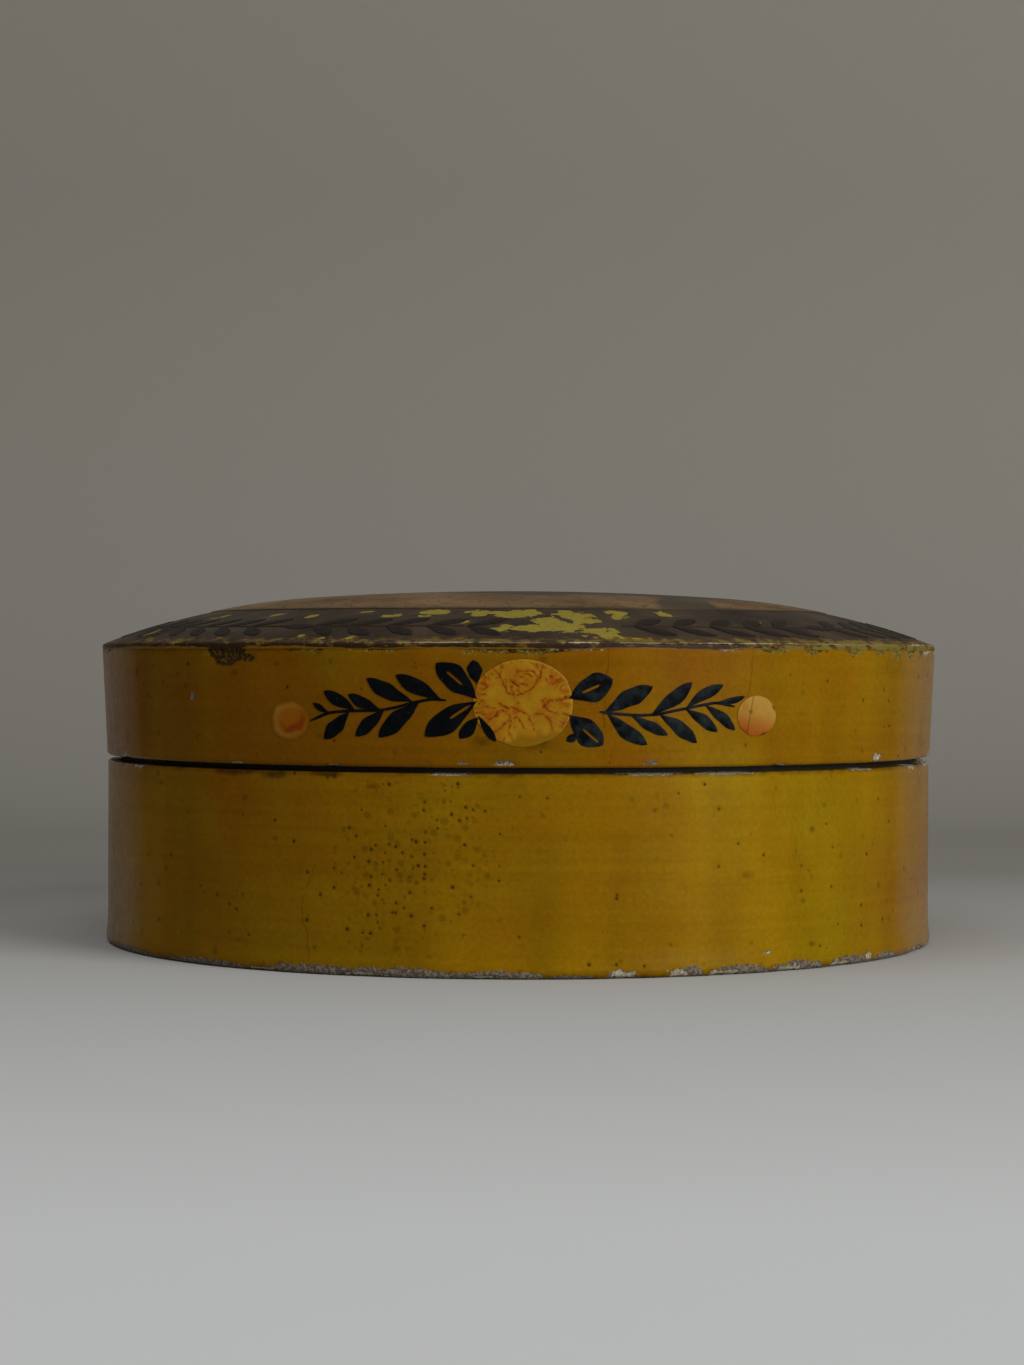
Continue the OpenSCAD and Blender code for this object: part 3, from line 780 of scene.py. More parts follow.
# %% Brown: lay the coats, shine and relief
coats = [
    (flake_edge, colour("#241b10")), (flake, yellow), (rust_share, edge_tone), (olive, colour("#5c4310")),
    (straw, colour("#716326")), (cream, pale), (mark["seam"], colour("#2b1806")),
]
for share, over in coats:
    tone = add(tree, "Mix", 2, {0: share, 6: tone, 7: over}, data_type="RGBA")
lost = 0.0
for gone in (flake, cream, straw):
    lost = add(tree, "Math", 0, {0: gone, 1: lost}, operation="MAXIMUM")
rough = add(tree, "MapRange", 0, {0: clouds, 1: 0.3, 2: 0.7, 3: 0.38, 4: 0.55})
rough = add(tree, "Mix", 0, {0: lost, 2: rough, 3: 0.75})
relief = 0.0
for part, weight in ((flake, -1.0), (grain, 0.3), (crumbs, mark["rim"])):
    relief = add(tree, "Math", 0, {0: part, 1: weight, 2: relief}, operation="MULTIPLY_ADD")
dress(tree, shader, tone, rough, 0.12, relief, 0.5, 0.1)
shader.inputs["IOR"].default_value = VARNISH_IOR
print("brown finish ready with", len(tree.nodes), "nodes")

# %% [markdown]
# ## The crown of the lid
# The dome was pressed from damp board: nearly flat in the middle, with a rounder fall towards the rim. A
# slice of a sphere would be too round on top. Two arcs that meet without a kink, which draughtsmen call a
# basket-handle arch, give the right line. The same formula later lays the leaves and the panel on the
# dome. Flakes are marked as ovals seen from above.

# %% Crown: outline
apex = box_mm("lid_crown")[1].z
RIM_EDGE = 0.7
FLAT_R = 28.0
MID_RADIUS = 400.0
SHOULDER = 0.5
BOARD = 2.0
SEAT_MARGIN = 2.4
CROWN_SEGMENTS = 720
flat_angle = math.asin(FLAT_R / MID_RADIUS)
flat_dir = np.array([math.sin(flat_angle), math.cos(flat_angle)])
joint = np.array([0, apex - MID_RADIUS]) + MID_RADIUS * flat_dir
to_rim = np.array([lid_r, lid_top + RIM_EDGE]) - joint
side_radius = -(to_rim @ to_rim) / (2 * to_rim @ flat_dir)
side_centre = joint - side_radius * flat_dir


def dome(r, grow=0.0):
    middle = apex - MID_RADIUS + np.sqrt((MID_RADIUS + grow) ** 2 - np.minimum(r, FLAT_R + 1) ** 2)
    falling = np.maximum((side_radius + grow) ** 2 - (r - side_centre[0]) ** 2, 0)
    return np.where(np.asarray(r) <= FLAT_R, middle, side_centre[1] + np.sqrt(falling))


def dome_line(start, end, count, grow=0.0):
    return [(r, float(dome(r, grow))) for r in np.linspace(start, end, count)]


shoulder_r = lid_r - SHOULDER
shoulder_rise = math.sqrt((side_radius - SHOULDER) ** 2 - (shoulder_r - side_centre[0]) ** 2)
shoulder_z = side_centre[1] + shoulder_rise
lean_out = math.degrees(math.atan2(shoulder_rise, shoulder_r - side_centre[0]))
shoulder_end = shoulder_r + SHOULDER * math.cos(math.radians(lean_out))
top_line = walk([(lid_r, lid_top), (lid_r, shoulder_z)], 0.12)[:-1]
top_line += bow((shoulder_r, shoulder_z), SHOULDER, 0, lean_out, 8)
top_line += dome_line(shoulder_end - 0.3, 36, 54) + dome_line(35.2, 0, 40)
seat_r = box_mm("floor_lining")[1].x - SEAT_MARGIN
crown_line = top_line + dome_line(0, seat_r, 9, -BOARD)[1:] + [(seat_r, lid_top), (lid_bore, lid_top)]
shape = turned(crown_line, CROWN_SEGMENTS)
azimuth, radius, height, outward = shape
outward[len(top_line) - 1] = (0, 1)
outward[0] = (1, 0)
print("the dome falls on a radius of", round(side_radius, 1), "mm beside its flat middle")

# %% Crown: flakes
# The ovals on the dome: x, distance from the axis, half width, half depth.
front_flakes = [
    (-4.6, 43.1, 2.4, 1.9), (-0.2, 43.6, 3.2, 2.2), (3.0, 46.8, 1.9, 2.6), (6.6, 44.3, 2.7, 2.6),
    (7.6, 46.7, 1.8, 1.5), (1.4, 49.9, 3.4, 1.9), (5.4, 49.4, 3.4, 2.1), (8.8, 51.1, 2.4, 1.9),
    (10.2, 52.7, 2.2, 1.4), (-2.4, 50.3, 1.6, 0.9), (11.6, 44.1, 1.4, 2.1), (-10.0, 43.1, 2.0, 1.4),
    (-11.2, 44.6, 1.2, 0.8), (-15.4, 45.0, 1.5, 1.0), (-8.0, 47.6, 1.9, 0.8), (-18.4, 42.5, 1.1, 0.6),
    (17.2, 43.4, 1.6, 1.5), (28.3, 46.6, 0.8, 0.6), (-29.8, 43.8, 1.3, 0.7), (-25.0, 44.6, 0.9, 0.8),
    (-37.2, 44.4, 1.5, 0.8), (-45.6, 50.6, 1.8, 0.9), (13.2, 53.6, 2.4, 0.8), (-25.6, 52.6, 0.8, 0.5),
    (-23.4, 53.4, 0.8, 0.5), (-19.8, 53.4, 0.6, 0.4),
]
flakes = [(x, -math.sqrt(far ** 2 - x ** 2), w, d) for x, far, w, d in front_flakes]
BACK_FLAKES = 46
for _ in range(BACK_FLAKES):
    turn = math.radians(dice.uniform(80, 280))
    far = dice.uniform(42, 53.5)
    half_sizes = (dice.uniform(0.8, 3.2), dice.uniform(0.8, 2.2))
    flakes.append((far * math.sin(turn), -far * math.cos(turn), *half_sizes))
# A flat sheet is marked like a wall with so long a girth that nothing comes round.
FLAT_SHEET = 1e6
smooth = round_points(azimuth, radius, height)
on_top = np.arange(len(crown_line)) < len(top_line)
flaked = np.clip(marked((smooth[..., 0], smooth[..., 1], FLAT_SHEET), flakes, 0.25), 0, 1) * on_top
print(len(flakes), "flakes")

# %% Crown: its broken rim
# How far a point lies up from the joint with the wall, first up the edge and then in over the dome.
up_rim = height - lid_top + lid_r - radius
round_rim = round_points(azimuth, radius * 0 + lid_r, height * 0)
broken = ripple(round_rim, 6, 2.4)
frayed = ripple(round_rim, 1.4, 5.1)
right_side = stretch(azimuth, 0.45, 0.15, 1.9, 0.3)
left_side = stretch(azimuth, -1.5, 0.3, -0.35, 0.15)
rust = np.clip((1.0 + 0.3 * broken - up_rim) / 0.3, 0, 1) * on_top
paint_top = 0.15 + 0.12 * left_side + 0.2 * broken + 0.16 * frayed
KNOCK_AT = -0.687
overpaint = np.clip(0.5 + (paint_top - up_rim) / 0.16, 0, 1)
overpaint *= 1 - np.exp(-(((azimuth - KNOCK_AT) / 0.06) ** 4))
lip = np.exp(-((up_rim - 1.05) / 0.26) ** 2) * (0.72 + 0.5 * broken - 0.5 * left_side) * on_top
loose_crumbs = np.clip(1 - np.abs(up_rim - 2.0) / 2.0, 0, 1) * (0.58 + 0.3 * broken - 0.22 * left_side)
packed_crumbs = np.clip(1.2 - up_rim / 2.6, 0, 1) * right_side * 0.72
rim = np.clip(np.maximum(loose_crumbs, packed_crumbs), 0, 1) * on_top
white = np.clip(2.0 * ripple(round_rim, 9, 7.9), 0, 0.5)
for at, half_length in ((0.14, 0.06), (0.44, 0.05)):
    white = np.maximum(white, 0.9 * np.exp(-((azimuth - at) / half_length) ** 2))
seam = np.clip(1 - (height - lid_top) / 0.15, 0, 1) * np.clip(frayed, 0, 0.6) * on_top
print("crumbs lie on", round(100 * float((rim > 0.3).mean())), "% of the crown's points")

# %% Crown: build it
# Where a disc lies in the square map: its middle and its half size.
SHOWN_DISC = (0.5, 0.495)
HIDDEN_DISC = (0.925, 0.06)


def disc_map(flat, faces, hidden):
    """Lays the shown faces out in a disc, and the hidden ones small in a corner."""
    flat = flat[:, :2] / np.abs(flat[:, :2]).max()
    corners = []
    for face, away in zip(faces, hidden):
        middle, scale = HIDDEN_DISC if away else SHOWN_DISC
        corners += [middle + scale * flat[v] for v in face]
    return np.array(corners)


worn_in = -0.03 + 0.02 * ripple(smooth, 24, 5.3) - 0.05 * np.clip(flaked * 2, 0, 1)
worn_in = worn_in - 0.22 * rim * np.clip(ripple(smooth, 1.3, 4.4) + 0.35, 0, 1)
crown_points = worn_points(shape, worn_in, len(top_line), lid_top, apex)
crown_faces = ring_faces(CROWN_SEGMENTS, len(crown_line))
under_face = np.tile(np.arange(len(crown_line)) >= len(top_line) - 1, CROWN_SEGMENTS)
crown_marks = dict(zip(CROWN_MARKS, (flaked, rim, seam, white, lip, rust, overpaint)))
make_piece(
    "pressed_crown", crown_points, crown_faces, "lid_crown", brown_lacquer, crown_marks,
    disc_map(crown_points.reshape(-1, 3), crown_faces, under_face),
)

# %% [markdown]
# ## Pasting cut paper
# Every cut-out is a thin sheet: a flat outline, filled with small faces, laid on the wall or on the dome.
# A boolean of a solid would give hard prisms. Here each flat point is lifted by the thickness of the paper,
# the outline gets a skirt down to the paint, and a back closes the sheet, so that it also exports as a clean
# thin solid. A leaf bulges by a few hundredths of a millimetre, as pasted paper does.

# %% Lay a sheet on the wall or the dome
PAPER = 0.1
SUNK = -0.09


def on_wall(flat, lift):
    lean = (flat[:, 1] - lid_z - LOW_BAND) / (lid_top - lid_z - LOW_BAND)
    wall_r = lid_low_r + LEAN * lean + lift
    return np.stack([flat[:, 0], -np.sqrt(wall_r ** 2 - flat[:, 0] ** 2), flat[:, 1]], -1)


def on_dome(flat, lift):
    return np.stack([flat[:, 0], flat[:, 1], dome(np.hypot(flat[:, 0], flat[:, 1])) + lift], -1)


print("paper of", PAPER, "mm, its back sunk by", -SUNK, "mm")


# %% Close a sheet and fill it with faces
def close_sheet(flat, faces, lay, lift):
    """The sheet, its back and its skirt."""
    count = len(flat)
    points = np.concatenate([lay(flat, lift), lay(flat, np.full(count, SUNK))])
    edges = {(a, b): None for face in faces for a, b in zip(face, face[1:] + face[:1])}
    back = [tuple(v + count for v in reversed(face)) for face in faces]
    skirt = [(b, a, a + count, b + count) for a, b in edges if (b, a) not in edges]
    return points, list(faces) + back + skirt


def gather(sheets):
    """Several closed sheets as the points and faces of one piece."""
    points, faces, start = [], [], 0
    for sheet_points, sheet_faces in sheets:
        points.append(sheet_points)
        faces += [tuple(v + start for v in face) for face in sheet_faces]
        start += len(sheet_points)
    return np.concatenate(points), faces


def grid_faces(rows, columns):
    starts = [i * columns + j for i in range(rows - 1) for j in range(columns - 1)]
    return [(a + columns, a + columns + 1, a + 1, a) for a in starts]


def polar_faces(rings, segments):
    """Faces of a disc: point 0 is the middle, then ring after ring."""
    faces = [(0, 1 + j, 1 + (j + 1) % segments) for j in range(segments)]
    for i in range(rings - 1):
        a, b = 1 + i * segments, 1 + (i + 1) * segments
        faces += [(a + j, b + j, b + (j + 1) % segments, a + (j + 1) % segments) for j in range(segments)]
    return faces


print("a disc of 2 rings and 6 spokes has", len(polar_faces(2, 6)), "faces")

# %% [markdown]
# ## Finish: cut paper, printed blue-black green
# The leaves were cut from paper printed almost black, with a touch of blue-green. Varnish deepens them.
# Where the printing is thin, a slightly paler mottle shows, a millimetre or so across. On the dome the
# brown varnish veils the leaves. Plain black would look like holes in the wall, so the mottle stays.

# %% Leaf paper
leaf_paper, tree, shader, place, mark = new_surface("blue_black_printed_paper", ("thin", "veil"))
mottle, thin_print = pattern(tree, place, 1.3, (0.42, 0.70), (0, 1), 4, 0.6)
thin_print = add(tree, "Math", 0, {0: thin_print, 1: mark["thin"]}, operation="MULTIPLY")
_, rub = pattern(tree, place, 0.45, (0.70, 0.80), (0, 0.4), 2)
veil = add(tree, "MapRange", 0, {0: mottle, 1: 0.35, 2: 0.65, 3: 0.6, 4: 1.2})
veil = add(tree, "Math", 0, {0: veil, 1: mark["veil"]}, operation="MULTIPLY", use_clamp=True)
tone = colour("#070809")
for share, over in ((thin_print, "#20282a"), (rub, "#4a4127"), (veil, "#382a1d")):
    tone = add(tree, "Mix", 2, {0: share, 6: tone, 7: colour(over)}, data_type="RGBA")
rough = add(tree, "MapRange", 0, {0: mottle, 1: 0.3, 2: 0.7, 3: 0.34, 4: 0.5})
dress(tree, shader, tone, rough, 0.04, mottle, 0.35, 0.05)
print("leaf paper ready")

# %% [markdown]
# ## The garland's leaves
# A leaf starts narrow at its stem, is widest past its middle and ends blunt, as scissors leave it. Sizes
# are hundredths of the garland's length of 55 mm, from the middle of the rosette. Each leaf gets its own
# slight bend and uneven edge. The large leaves beside the rosette have a slit along the midrib, through
# which the ochre shows. A stem is a narrow ribbon along a smooth line. A filled curve would give flat
# leaves, but rows of points from stem to tip can bulge and bend.

# %% Leaf shape
SLIT = 0.32
NO_SLIT = (0, 0)
# A belly above 1 puts the widest place past the middle. A power below 1 makes the ends blunt.
BELLY = 1.3
BLUNT = 0.75


def leaf_sheet(foot, angle, length, width, lay, slit=NO_SLIT, thick=PAPER, rows=22, half=5):
    t = np.linspace(0, 1, rows)
    edge = np.clip(np.sin(np.pi * t ** BELLY), 0, 1) ** BLUNT * width / 2
    uneven = 1 + 0.07 * np.sin(t * dice.uniform(7, 15) + dice.uniform(0, 6))
    bend = dice.uniform(-0.05, 0.05) * length * np.sin(np.pi * t)
    gap = SLIT / 2 * np.clip(np.minimum(t - slit[0], slit[1] - t) / 0.04, 0, 1)
    gap = np.minimum(gap, edge * 0.6)
    share = np.linspace(0, 1, half)
    right = gap[:, None] + (edge * uneven - gap)[:, None] * share
    left = -(gap[:, None] + (edge / uneven - gap)[:, None] * share)[:, ::-1]
    across = np.concatenate([left, right], 1) + bend[:, None]
    ahead = length * t[:, None] + 0 * across
    turn = math.radians(angle)
    u = foot[0] + ahead * math.cos(turn) - across * math.sin(turn)
    v = foot[1] + ahead * math.sin(turn) + across * math.cos(turn)
    from_rib = np.concatenate([share[::-1], share])
    bulge = thick * (1 - 0.5 * from_rib ** 2) + 0 * across
    wide = 2 * half - 1
    slit_rows = {i for i in range(rows - 1) if max(gap[i], gap[i + 1]) > 0.01}
    faces = [
        face for n, face in enumerate(grid_faces(rows, 2 * half))
        if n % wide != half - 1 or n // wide not in slit_rows
    ]
    return close_sheet(np.stack([u.ravel(), v.ravel()], -1), faces, lay, bulge.ravel())


print("a slit of", SLIT, "mm along the midrib of a large leaf")

# %% Stem shape
STEM_LIFT = (0.03, 0.06, 0.03)
STEM_TIP = 0.45
softened = np.array([1, 2, 3, 4, 3, 2, 1]) / 16


def stem_sheet(points, width, lay):
    ends = np.array(points, float)
    fine = np.linspace(0, len(ends) - 1, 8 * len(ends))
    line = np.stack([np.interp(fine, np.arange(len(ends)), ends[:, i]) for i in (0, 1)], -1)
    for i in (0, 1):
        line[3:-3, i] = np.convolve(line[:, i], softened, "valid")
    ahead = np.gradient(line, axis=0)
    ahead /= np.linalg.norm(ahead, axis=1)[:, None]
    sideways = np.stack([-ahead[:, 1], ahead[:, 0]], -1)
    taper = width / 2 * np.clip(STEM_TIP + 3 * np.sin(np.pi * np.linspace(0, 1, len(line))), 0, 1)
    flat = line[:, None] + (sideways * taper[:, None])[:, None] * np.array([-1, 0, 1])[:, None]
    return close_sheet(flat.reshape(-1, 2), grid_faces(len(line), 3), lay, np.tile(STEM_LIFT, len(line)))


print("stems taper to", STEM_TIP, "of their width")

# %% The two sprays
GARLAND = 0.55
STEM_WIDE = 0.34
# A leaf of the same length and width as in the CAD model, with rounder sides, is this much wider.
FULLER = 1.06
garland_x = 0.4
garland_z = 31.8


def on_garland(at, up):
    return garland_x + GARLAND * at, garland_z + GARLAND * up


# A leaf: foot, angle, length, width and, for a large leaf, where its slit starts and ends along its length.
left_stem = [(-16, 0.5), (-19, 0.8), (-23, 0), (-26.5, -1), (-30, -1.7), (-36, -1.8), (-41, -2.2), (-45, -4)]
left_leaves = [
    (-41, -2.2, 150, 4, 1.2), (-35.2, -1.7, 150, 8, 2.5), (-30, -1.4, 156, 7.5, 2.3),
    (-23, 0.2, 154, 11, 3.1), (-17, 0.6, 152, 11, 3.1), (-36.6, -2, 227, 8, 2.9),
    (-29, -1.4, 223, 8.5, 2.7), (-21.6, 0.2, 221, 11.5, 3.5), (-9.6, 4, 100, 5, 2.9),
    (-9.3, -2.9, 229, 6, 2.6), (-9.4, -2.6, 305, 6.6, 2),
    (-9.6, 0.8, 139, 11.4, 4.8, 0.36, 0.76), (-9.6, 0.4, 214, 13.2, 4.7, 0.12, 0.52),
]
right_stem = [(45, -0.8), (41, 0.1), (38, -0.4), (31.5, -1.7), (28, -2.4), (24, -2.6), (18, -2.1), (16, -1.8)]
right_leaves = [
    (17, -2, 28, 11.6, 3.5), (27, -2.4, 38, 11, 2.9), (34.4, -1, 31, 9.4, 2.3), (41, 0.1, 11, 6.4, 1.3),
    (17.6, -2.1, 322, 10.8, 2.9), (22.6, -2.5, 332, 9, 2.1), (28.6, -2.3, 323, 10.2, 2.7),
    (34.2, -1.2, 325, 8.6, 2.3), (38.4, -0.4, 321, 8.6, 2.1), (11.8, -6.6, 205, 3, 1.6),
    (9.6, 1, 24, 10, 5.4, 0.3, 0.72), (9.6, -2.4, 318, 9.6, 5, 0.44, 0.9),
]
sprays = [("left", left_leaves, left_stem, 0.15), ("right", right_leaves, right_stem, 1.0)]
for side, leaves, stem, thin in sprays:
    sheets = [stem_sheet([on_garland(*spot) for spot in stem], STEM_WIDE, on_wall)]
    for at, up, angle, length, width, *slit in leaves:
        size = (GARLAND * length, GARLAND * width * FULLER)
        sheets.append(leaf_sheet(on_garland(at, up), angle, *size, on_wall, slit or NO_SLIT))
    points, faces = gather(sheets)
    marks = {"thin": np.full(len(points), thin), "veil": np.zeros(len(points))}
    make_piece(side + "_leaf_spray", points, faces, side + "_leaf_cutouts", leaf_paper, marks)

# %% [markdown]
# ## The rosette
# The middle of the garland is a round of flower paper, cut out with a few straight snips. Its print shows a
# rose above, a daisy below and a half flower at the edge, in red-brown line on pale orange. The lines are
# laid down in millimetres from the middle of the rosette. Each point of a fine disc measures how far it is
# from them and stores that as ink, so no picture is needed.

# %% Rosette: cut out the disc
ROSETTE_W = 11.4
ROSETTE_H = 10.0
SNIP_R = 6.6
RINGS = 80
SPOKES = 320


def disc_outline(angles, half_w, half_h, cut_r, snips):
    shift = cut_r - half_h
    up = np.sin(angles) * shift
    above = -np.abs(up) + np.sqrt(up ** 2 - shift ** 2 + cut_r ** 2)
    edge = np.minimum(half_w, above)
    for turn, cut in snips:
        facing = np.cos(angles - math.radians(turn))
        edge = np.where(facing > 0.3, np.minimum(edge, cut / np.maximum(facing, 0.3)), edge)
    return edge


def disc_points(angles, edge, rings):
    """Points of a disc, and how far each one is on its way from the middle to the edge."""
    share = np.linspace(0, 1, rings + 1)[1:]
    r = share[:, None] * edge
    flat = np.stack([(r * np.cos(angles)).ravel(), (r * np.sin(angles)).ravel()], -1)
    return np.concatenate([[[0, 0]], flat]), np.concatenate([[0], np.repeat(share, len(angles))])


angles = np.arange(SPOKES) * 2 * np.pi / SPOKES
snips = [(52, 5.35), (20, 5.62), (118, 5.3), (165, 5.6), (208, 5.55), (250, 5.02), (292, 5.05), (330, 5.5)]
edge = disc_outline(angles, ROSETTE_W / 2, ROSETTE_H / 2, SNIP_R, snips)
flat, share = disc_points(angles, edge, RINGS)
px, pz = flat.T
disc_3d = np.stack([px, pz, 0 * px], -1)
wobble_x = px + 0.2 * ripple(disc_3d, 0.7, 1.7)
wobble_z = pz + 0.2 * ripple(disc_3d, 0.7, 9.2)
print("rosette disc of", len(flat), "points,", len(snips), "snips")


# %% Rosette: the lines of its print
def along_line(points):
    """How far each point of the disc lies from a bent line."""
    far = np.full(len(flat), FAR_OFF)
    for (x0, z0), (x1, z1) in zip(points[:-1], points[1:]):
        run_x, run_z = x1 - x0, z1 - z0
        t = ((wobble_x - x0) * run_x + (wobble_z - z0) * run_z) / (run_x ** 2 + run_z ** 2)
        t = np.clip(t, 0, 1)
        far = np.minimum(far, np.hypot(wobble_x - x0 - t * run_x, wobble_z - z0 - t * run_z))
    return far


def from_spot(at_x, at_z):
    return np.hypot(wobble_x - at_x, wobble_z - at_z)


# Lines of the print, each with its strength: the rose, curls at both sides, a half flower, the daisy.
rose_lip = [(-2.7, 3.2), (-2.35, 2.1), (-1.8, 1.3), (-0.95, 0.75)]
rose_lip += [(0.0, 1.05), (1.15, 1.8), (1.8, 2.75), (2.4, 4.4)]
strokes = [
    (0.8, rose_lip), (0.5, [(-2.65, 3.4), (-2.5, 4.1), (-2.1, 4.7)]), (0.55, [(-2.1, 2.6), (-1.9, 1.5)]),
    (0.6, [(-1.0, 3.2), (-0.55, 3.65), (0.4, 3.75), (1.25, 3.55), (1.65, 2.95), (1.5, 2.3), (0.95, 1.75)]),
    (0.5, [(-0.3, 2.95), (0.0, 3.3), (0.6, 3.35), (1.0, 2.95)]), (0.55, [(-1.3, 1.9), (-1.1, 0.9)]),
    (0.9, [(-1.5, 2.7), (-1.1, 2.25), (-0.45, 2.0)]), (0.8, [(-0.2, 2.3), (0.35, 2.1)]),
    (0.45, [(0.9, 4.6), (1.5, 4.3), (1.9, 3.6)]), (0.45, [(-0.7, 1.6), (-0.3, 1.05)]),
    (0.5, [(-5.2, 2.4), (-4.9, 3.0), (-4.4, 3.2)]), (0.6, [(-3.95, 3.3), (-3.9, 2.6)]),
    (0.55, [(-4.4, 2.2), (-4.1, 1.9), (-4.6, 1.6)]), (0.5, [(-5.3, 1.2), (-4.8, 0.9), (-4.3, 0.95)]),
    (0.4, [(-5.5, 0.6), (-4.9, 0.4)]), (0.6, [(2.6, 2.8), (2.85, 2.4), (3.5, 2.25), (3.9, 2.55), (4.3, 2.7)]),
    (0.5, [(3.3, 3.6), (3.55, 3.3)]), (0.6, [(4.2, 2.95), (4.5, 2.5)]), (0.4, [(4.3, 1.6), (4.9, 1.5)]),
    (0.9, [(2.2, 0.35), (2.4, -0.4)]),
    (0.7, [(2.4, 0.0), (3.35, 0.35), (4.1, 0.45), (4.85, 0.65), (5.4, 0.65)]),
    (0.5, [(4.1, 0.2), (5.5, -0.2)]), (0.65, [(2.4, -0.4), (3.05, -0.85), (4.0, -1.25)]),
    (0.6, [(1.45, -1.15), (2.3, -1.25), (2.95, -1.7), (3.3, -2.3), (3.5, -3.2)]),
    (0.7, [(4.5, -2.6), (5.1, -2.0)]),
    (0.8, [(-2.7, 0.0), (-1.95, -0.5), (-1.5, -0.65)]), (0.7, [(-1.3, -0.5), (-0.5, -0.7)]),
    (0.9, [(-0.35, -0.9), (0.25, -1.2)]), (0.6, [(-1.6, -1.3), (-1.3, -1.7), (-0.6, -1.6)]),
    (0.6, [(-1.5, -1.75), (-2.2, -2.5), (-3.0, -3.2)]), (0.5, [(-1.35, -1.9), (-1.7, -2.95)]),
    (0.4, [(-0.95, -1.9), (-0.95, -2.75)]), (0.5, [(-0.4, -1.75), (0.1, -2.85)]),
    (0.6, [(0.6, -1.45), (1.0, -2.2), (1.25, -2.95)]), (0.7, [(-2.0, -0.9), (-2.9, -1.0), (-3.6, -1.9)]),
    (0.6, [(-2.9, -1.4), (-4.0, -2.1)]), (0.6, [(-4.6, -0.4), (-3.3, -0.6)]),
    (0.45, [(-4.7, -1.3), (-3.5, -1.1)]),
    (0.5, [(-4.6, -2.0), (-3.9, -1.7)]), (0.35, [(-1.6, -3.3), (-1.2, -4.2), (-0.6, -4.6)]),
]
# Fine rays along the edge at both sides, as on a ring of small petals.
for turn in list(range(-34, 64, 7)) + list(range(122, 246, 8)):
    ray = math.radians(turn + dice.uniform(-2, 2))
    ray_ends = [dice.uniform(4.2, 4.9), dice.uniform(5.2, 5.6)]
    strokes.append((dice.uniform(0.3, 0.6), [(r * math.cos(ray), r * math.sin(ray)) for r in ray_ends]))
print("rosette print:", len(strokes), "lines")

# %% Rosette: ink, tint and wear
ink = np.zeros(len(flat))
halo = np.zeros(len(flat))
blots = np.clip(0.95 + 1.4 * ripple(disc_3d, 0.34, 3.3), 0.3, 1.6)
for strong, points in strokes:
    far = along_line(points)
    ink = np.maximum(ink, 1.15 * strong * blots * np.exp(-((far / dice.uniform(0.1, 0.16)) ** 2)))
    halo = np.maximum(halo, strong * np.exp(-((far / 0.34) ** 2)))
dots = [
    (-1.2, 2.55, 0.2), (0.0, 2.25, 0.18), (-0.55, 3.6, 0.12), (3.25, 3.05, 0.27), (-5.05, -0.1, 0.16),
    (-2.15, 4.8, 0.11), (-1.4, 4.7, 0.1), (-0.9, 4.9, 0.12), (-0.1, 4.8, 0.1), (1.45, 4.4, 0.16),
    (-3.05, 2.95, 0.1), (-0.6, -0.05, 0.14), (-0.55, -4.7, 0.11), (0.6, -4.5, 0.13), (1.15, -4.75, 0.13),
    (1.7, -4.4, 0.12), (1.8, -4.75, 0.11), (0.2, -4.6, 0.1), (2.5, 0.55, 0.13), (3.4, 0.2, 0.12),
]
for at_x, at_z, half in dots:
    ink = np.maximum(ink, np.exp(-((from_spot(at_x, at_z) / half) ** 2)))
SPECKS_OF_INK = 70
for _ in range(SPECKS_OF_INK):
    turn, far = dice.uniform(0, 2 * np.pi), 5.4 * math.sqrt(dice.uniform(0.05, 1))
    spot = from_spot(far * math.cos(turn), 0.9 * far * math.sin(turn))
    ink = np.maximum(ink, dice.uniform(0.2, 0.55) * np.exp(-((spot / dice.uniform(0.05, 0.12)) ** 2)))
# Patches of orange-red tint: x, z, half size and depth.
red_spots = [
    (-0.5, 2.6, 1.9, 0.6), (-0.97, -1.05, 0.85, 1.3), (4.75, -2.3, 0.7, 1.1), (-4.5, 2.6, 1.3, 0.75),
    (-5.0, 0.9, 0.9, 0.6), (3.8, 2.6, 1.2, 0.7), (4.55, 1.5, 0.8, 0.6), (2.6, 0.0, 1.0, 0.7),
    (-3.9, -1.5, 1.3, 0.6), (0.9, -4.6, 1.5, 0.7), (-3.3, -3.4, 1.0, 0.6), (-2.2, 4.2, 1.0, 0.5),
    (1.9, 4.2, 0.9, 0.5), (1.9, -0.6, 0.8, 0.4),
]
red = np.zeros(len(flat))
cloudy = np.clip(0.85 + 1.3 * ripple(disc_3d, 0.6, 6.6), 0, 2)
for at_x, at_z, half, deep in red_spots:
    red = np.maximum(red, np.clip(1.2 * deep * cloudy * (1.2 - from_spot(at_x, at_z) / half), 0, 1))
red = np.clip(np.maximum(np.maximum(red, ink), 0.9 * halo * cloudy), 0, 1)
rubbed = np.clip((0.25 * px - pz - 3.3 + 1.2 * ripple(disc_3d, 1.1, 8.1)) / 1.5, 0, 1)
print(round(100 * float((ink > 0.5).mean())), "% of the rosette is inked")

# %% [markdown]
# ## Finish: pale orange printed paper under yellowed varnish
# The paper was white once. Yellow varnish and age turned it a warm pale orange, darker at its edge, and the
# print soaked in a little, so its lines are soft. The stored ink and red decide where the print lies. The
# lower edge is rubbed through, and the ochre of the wall comes up in patches.

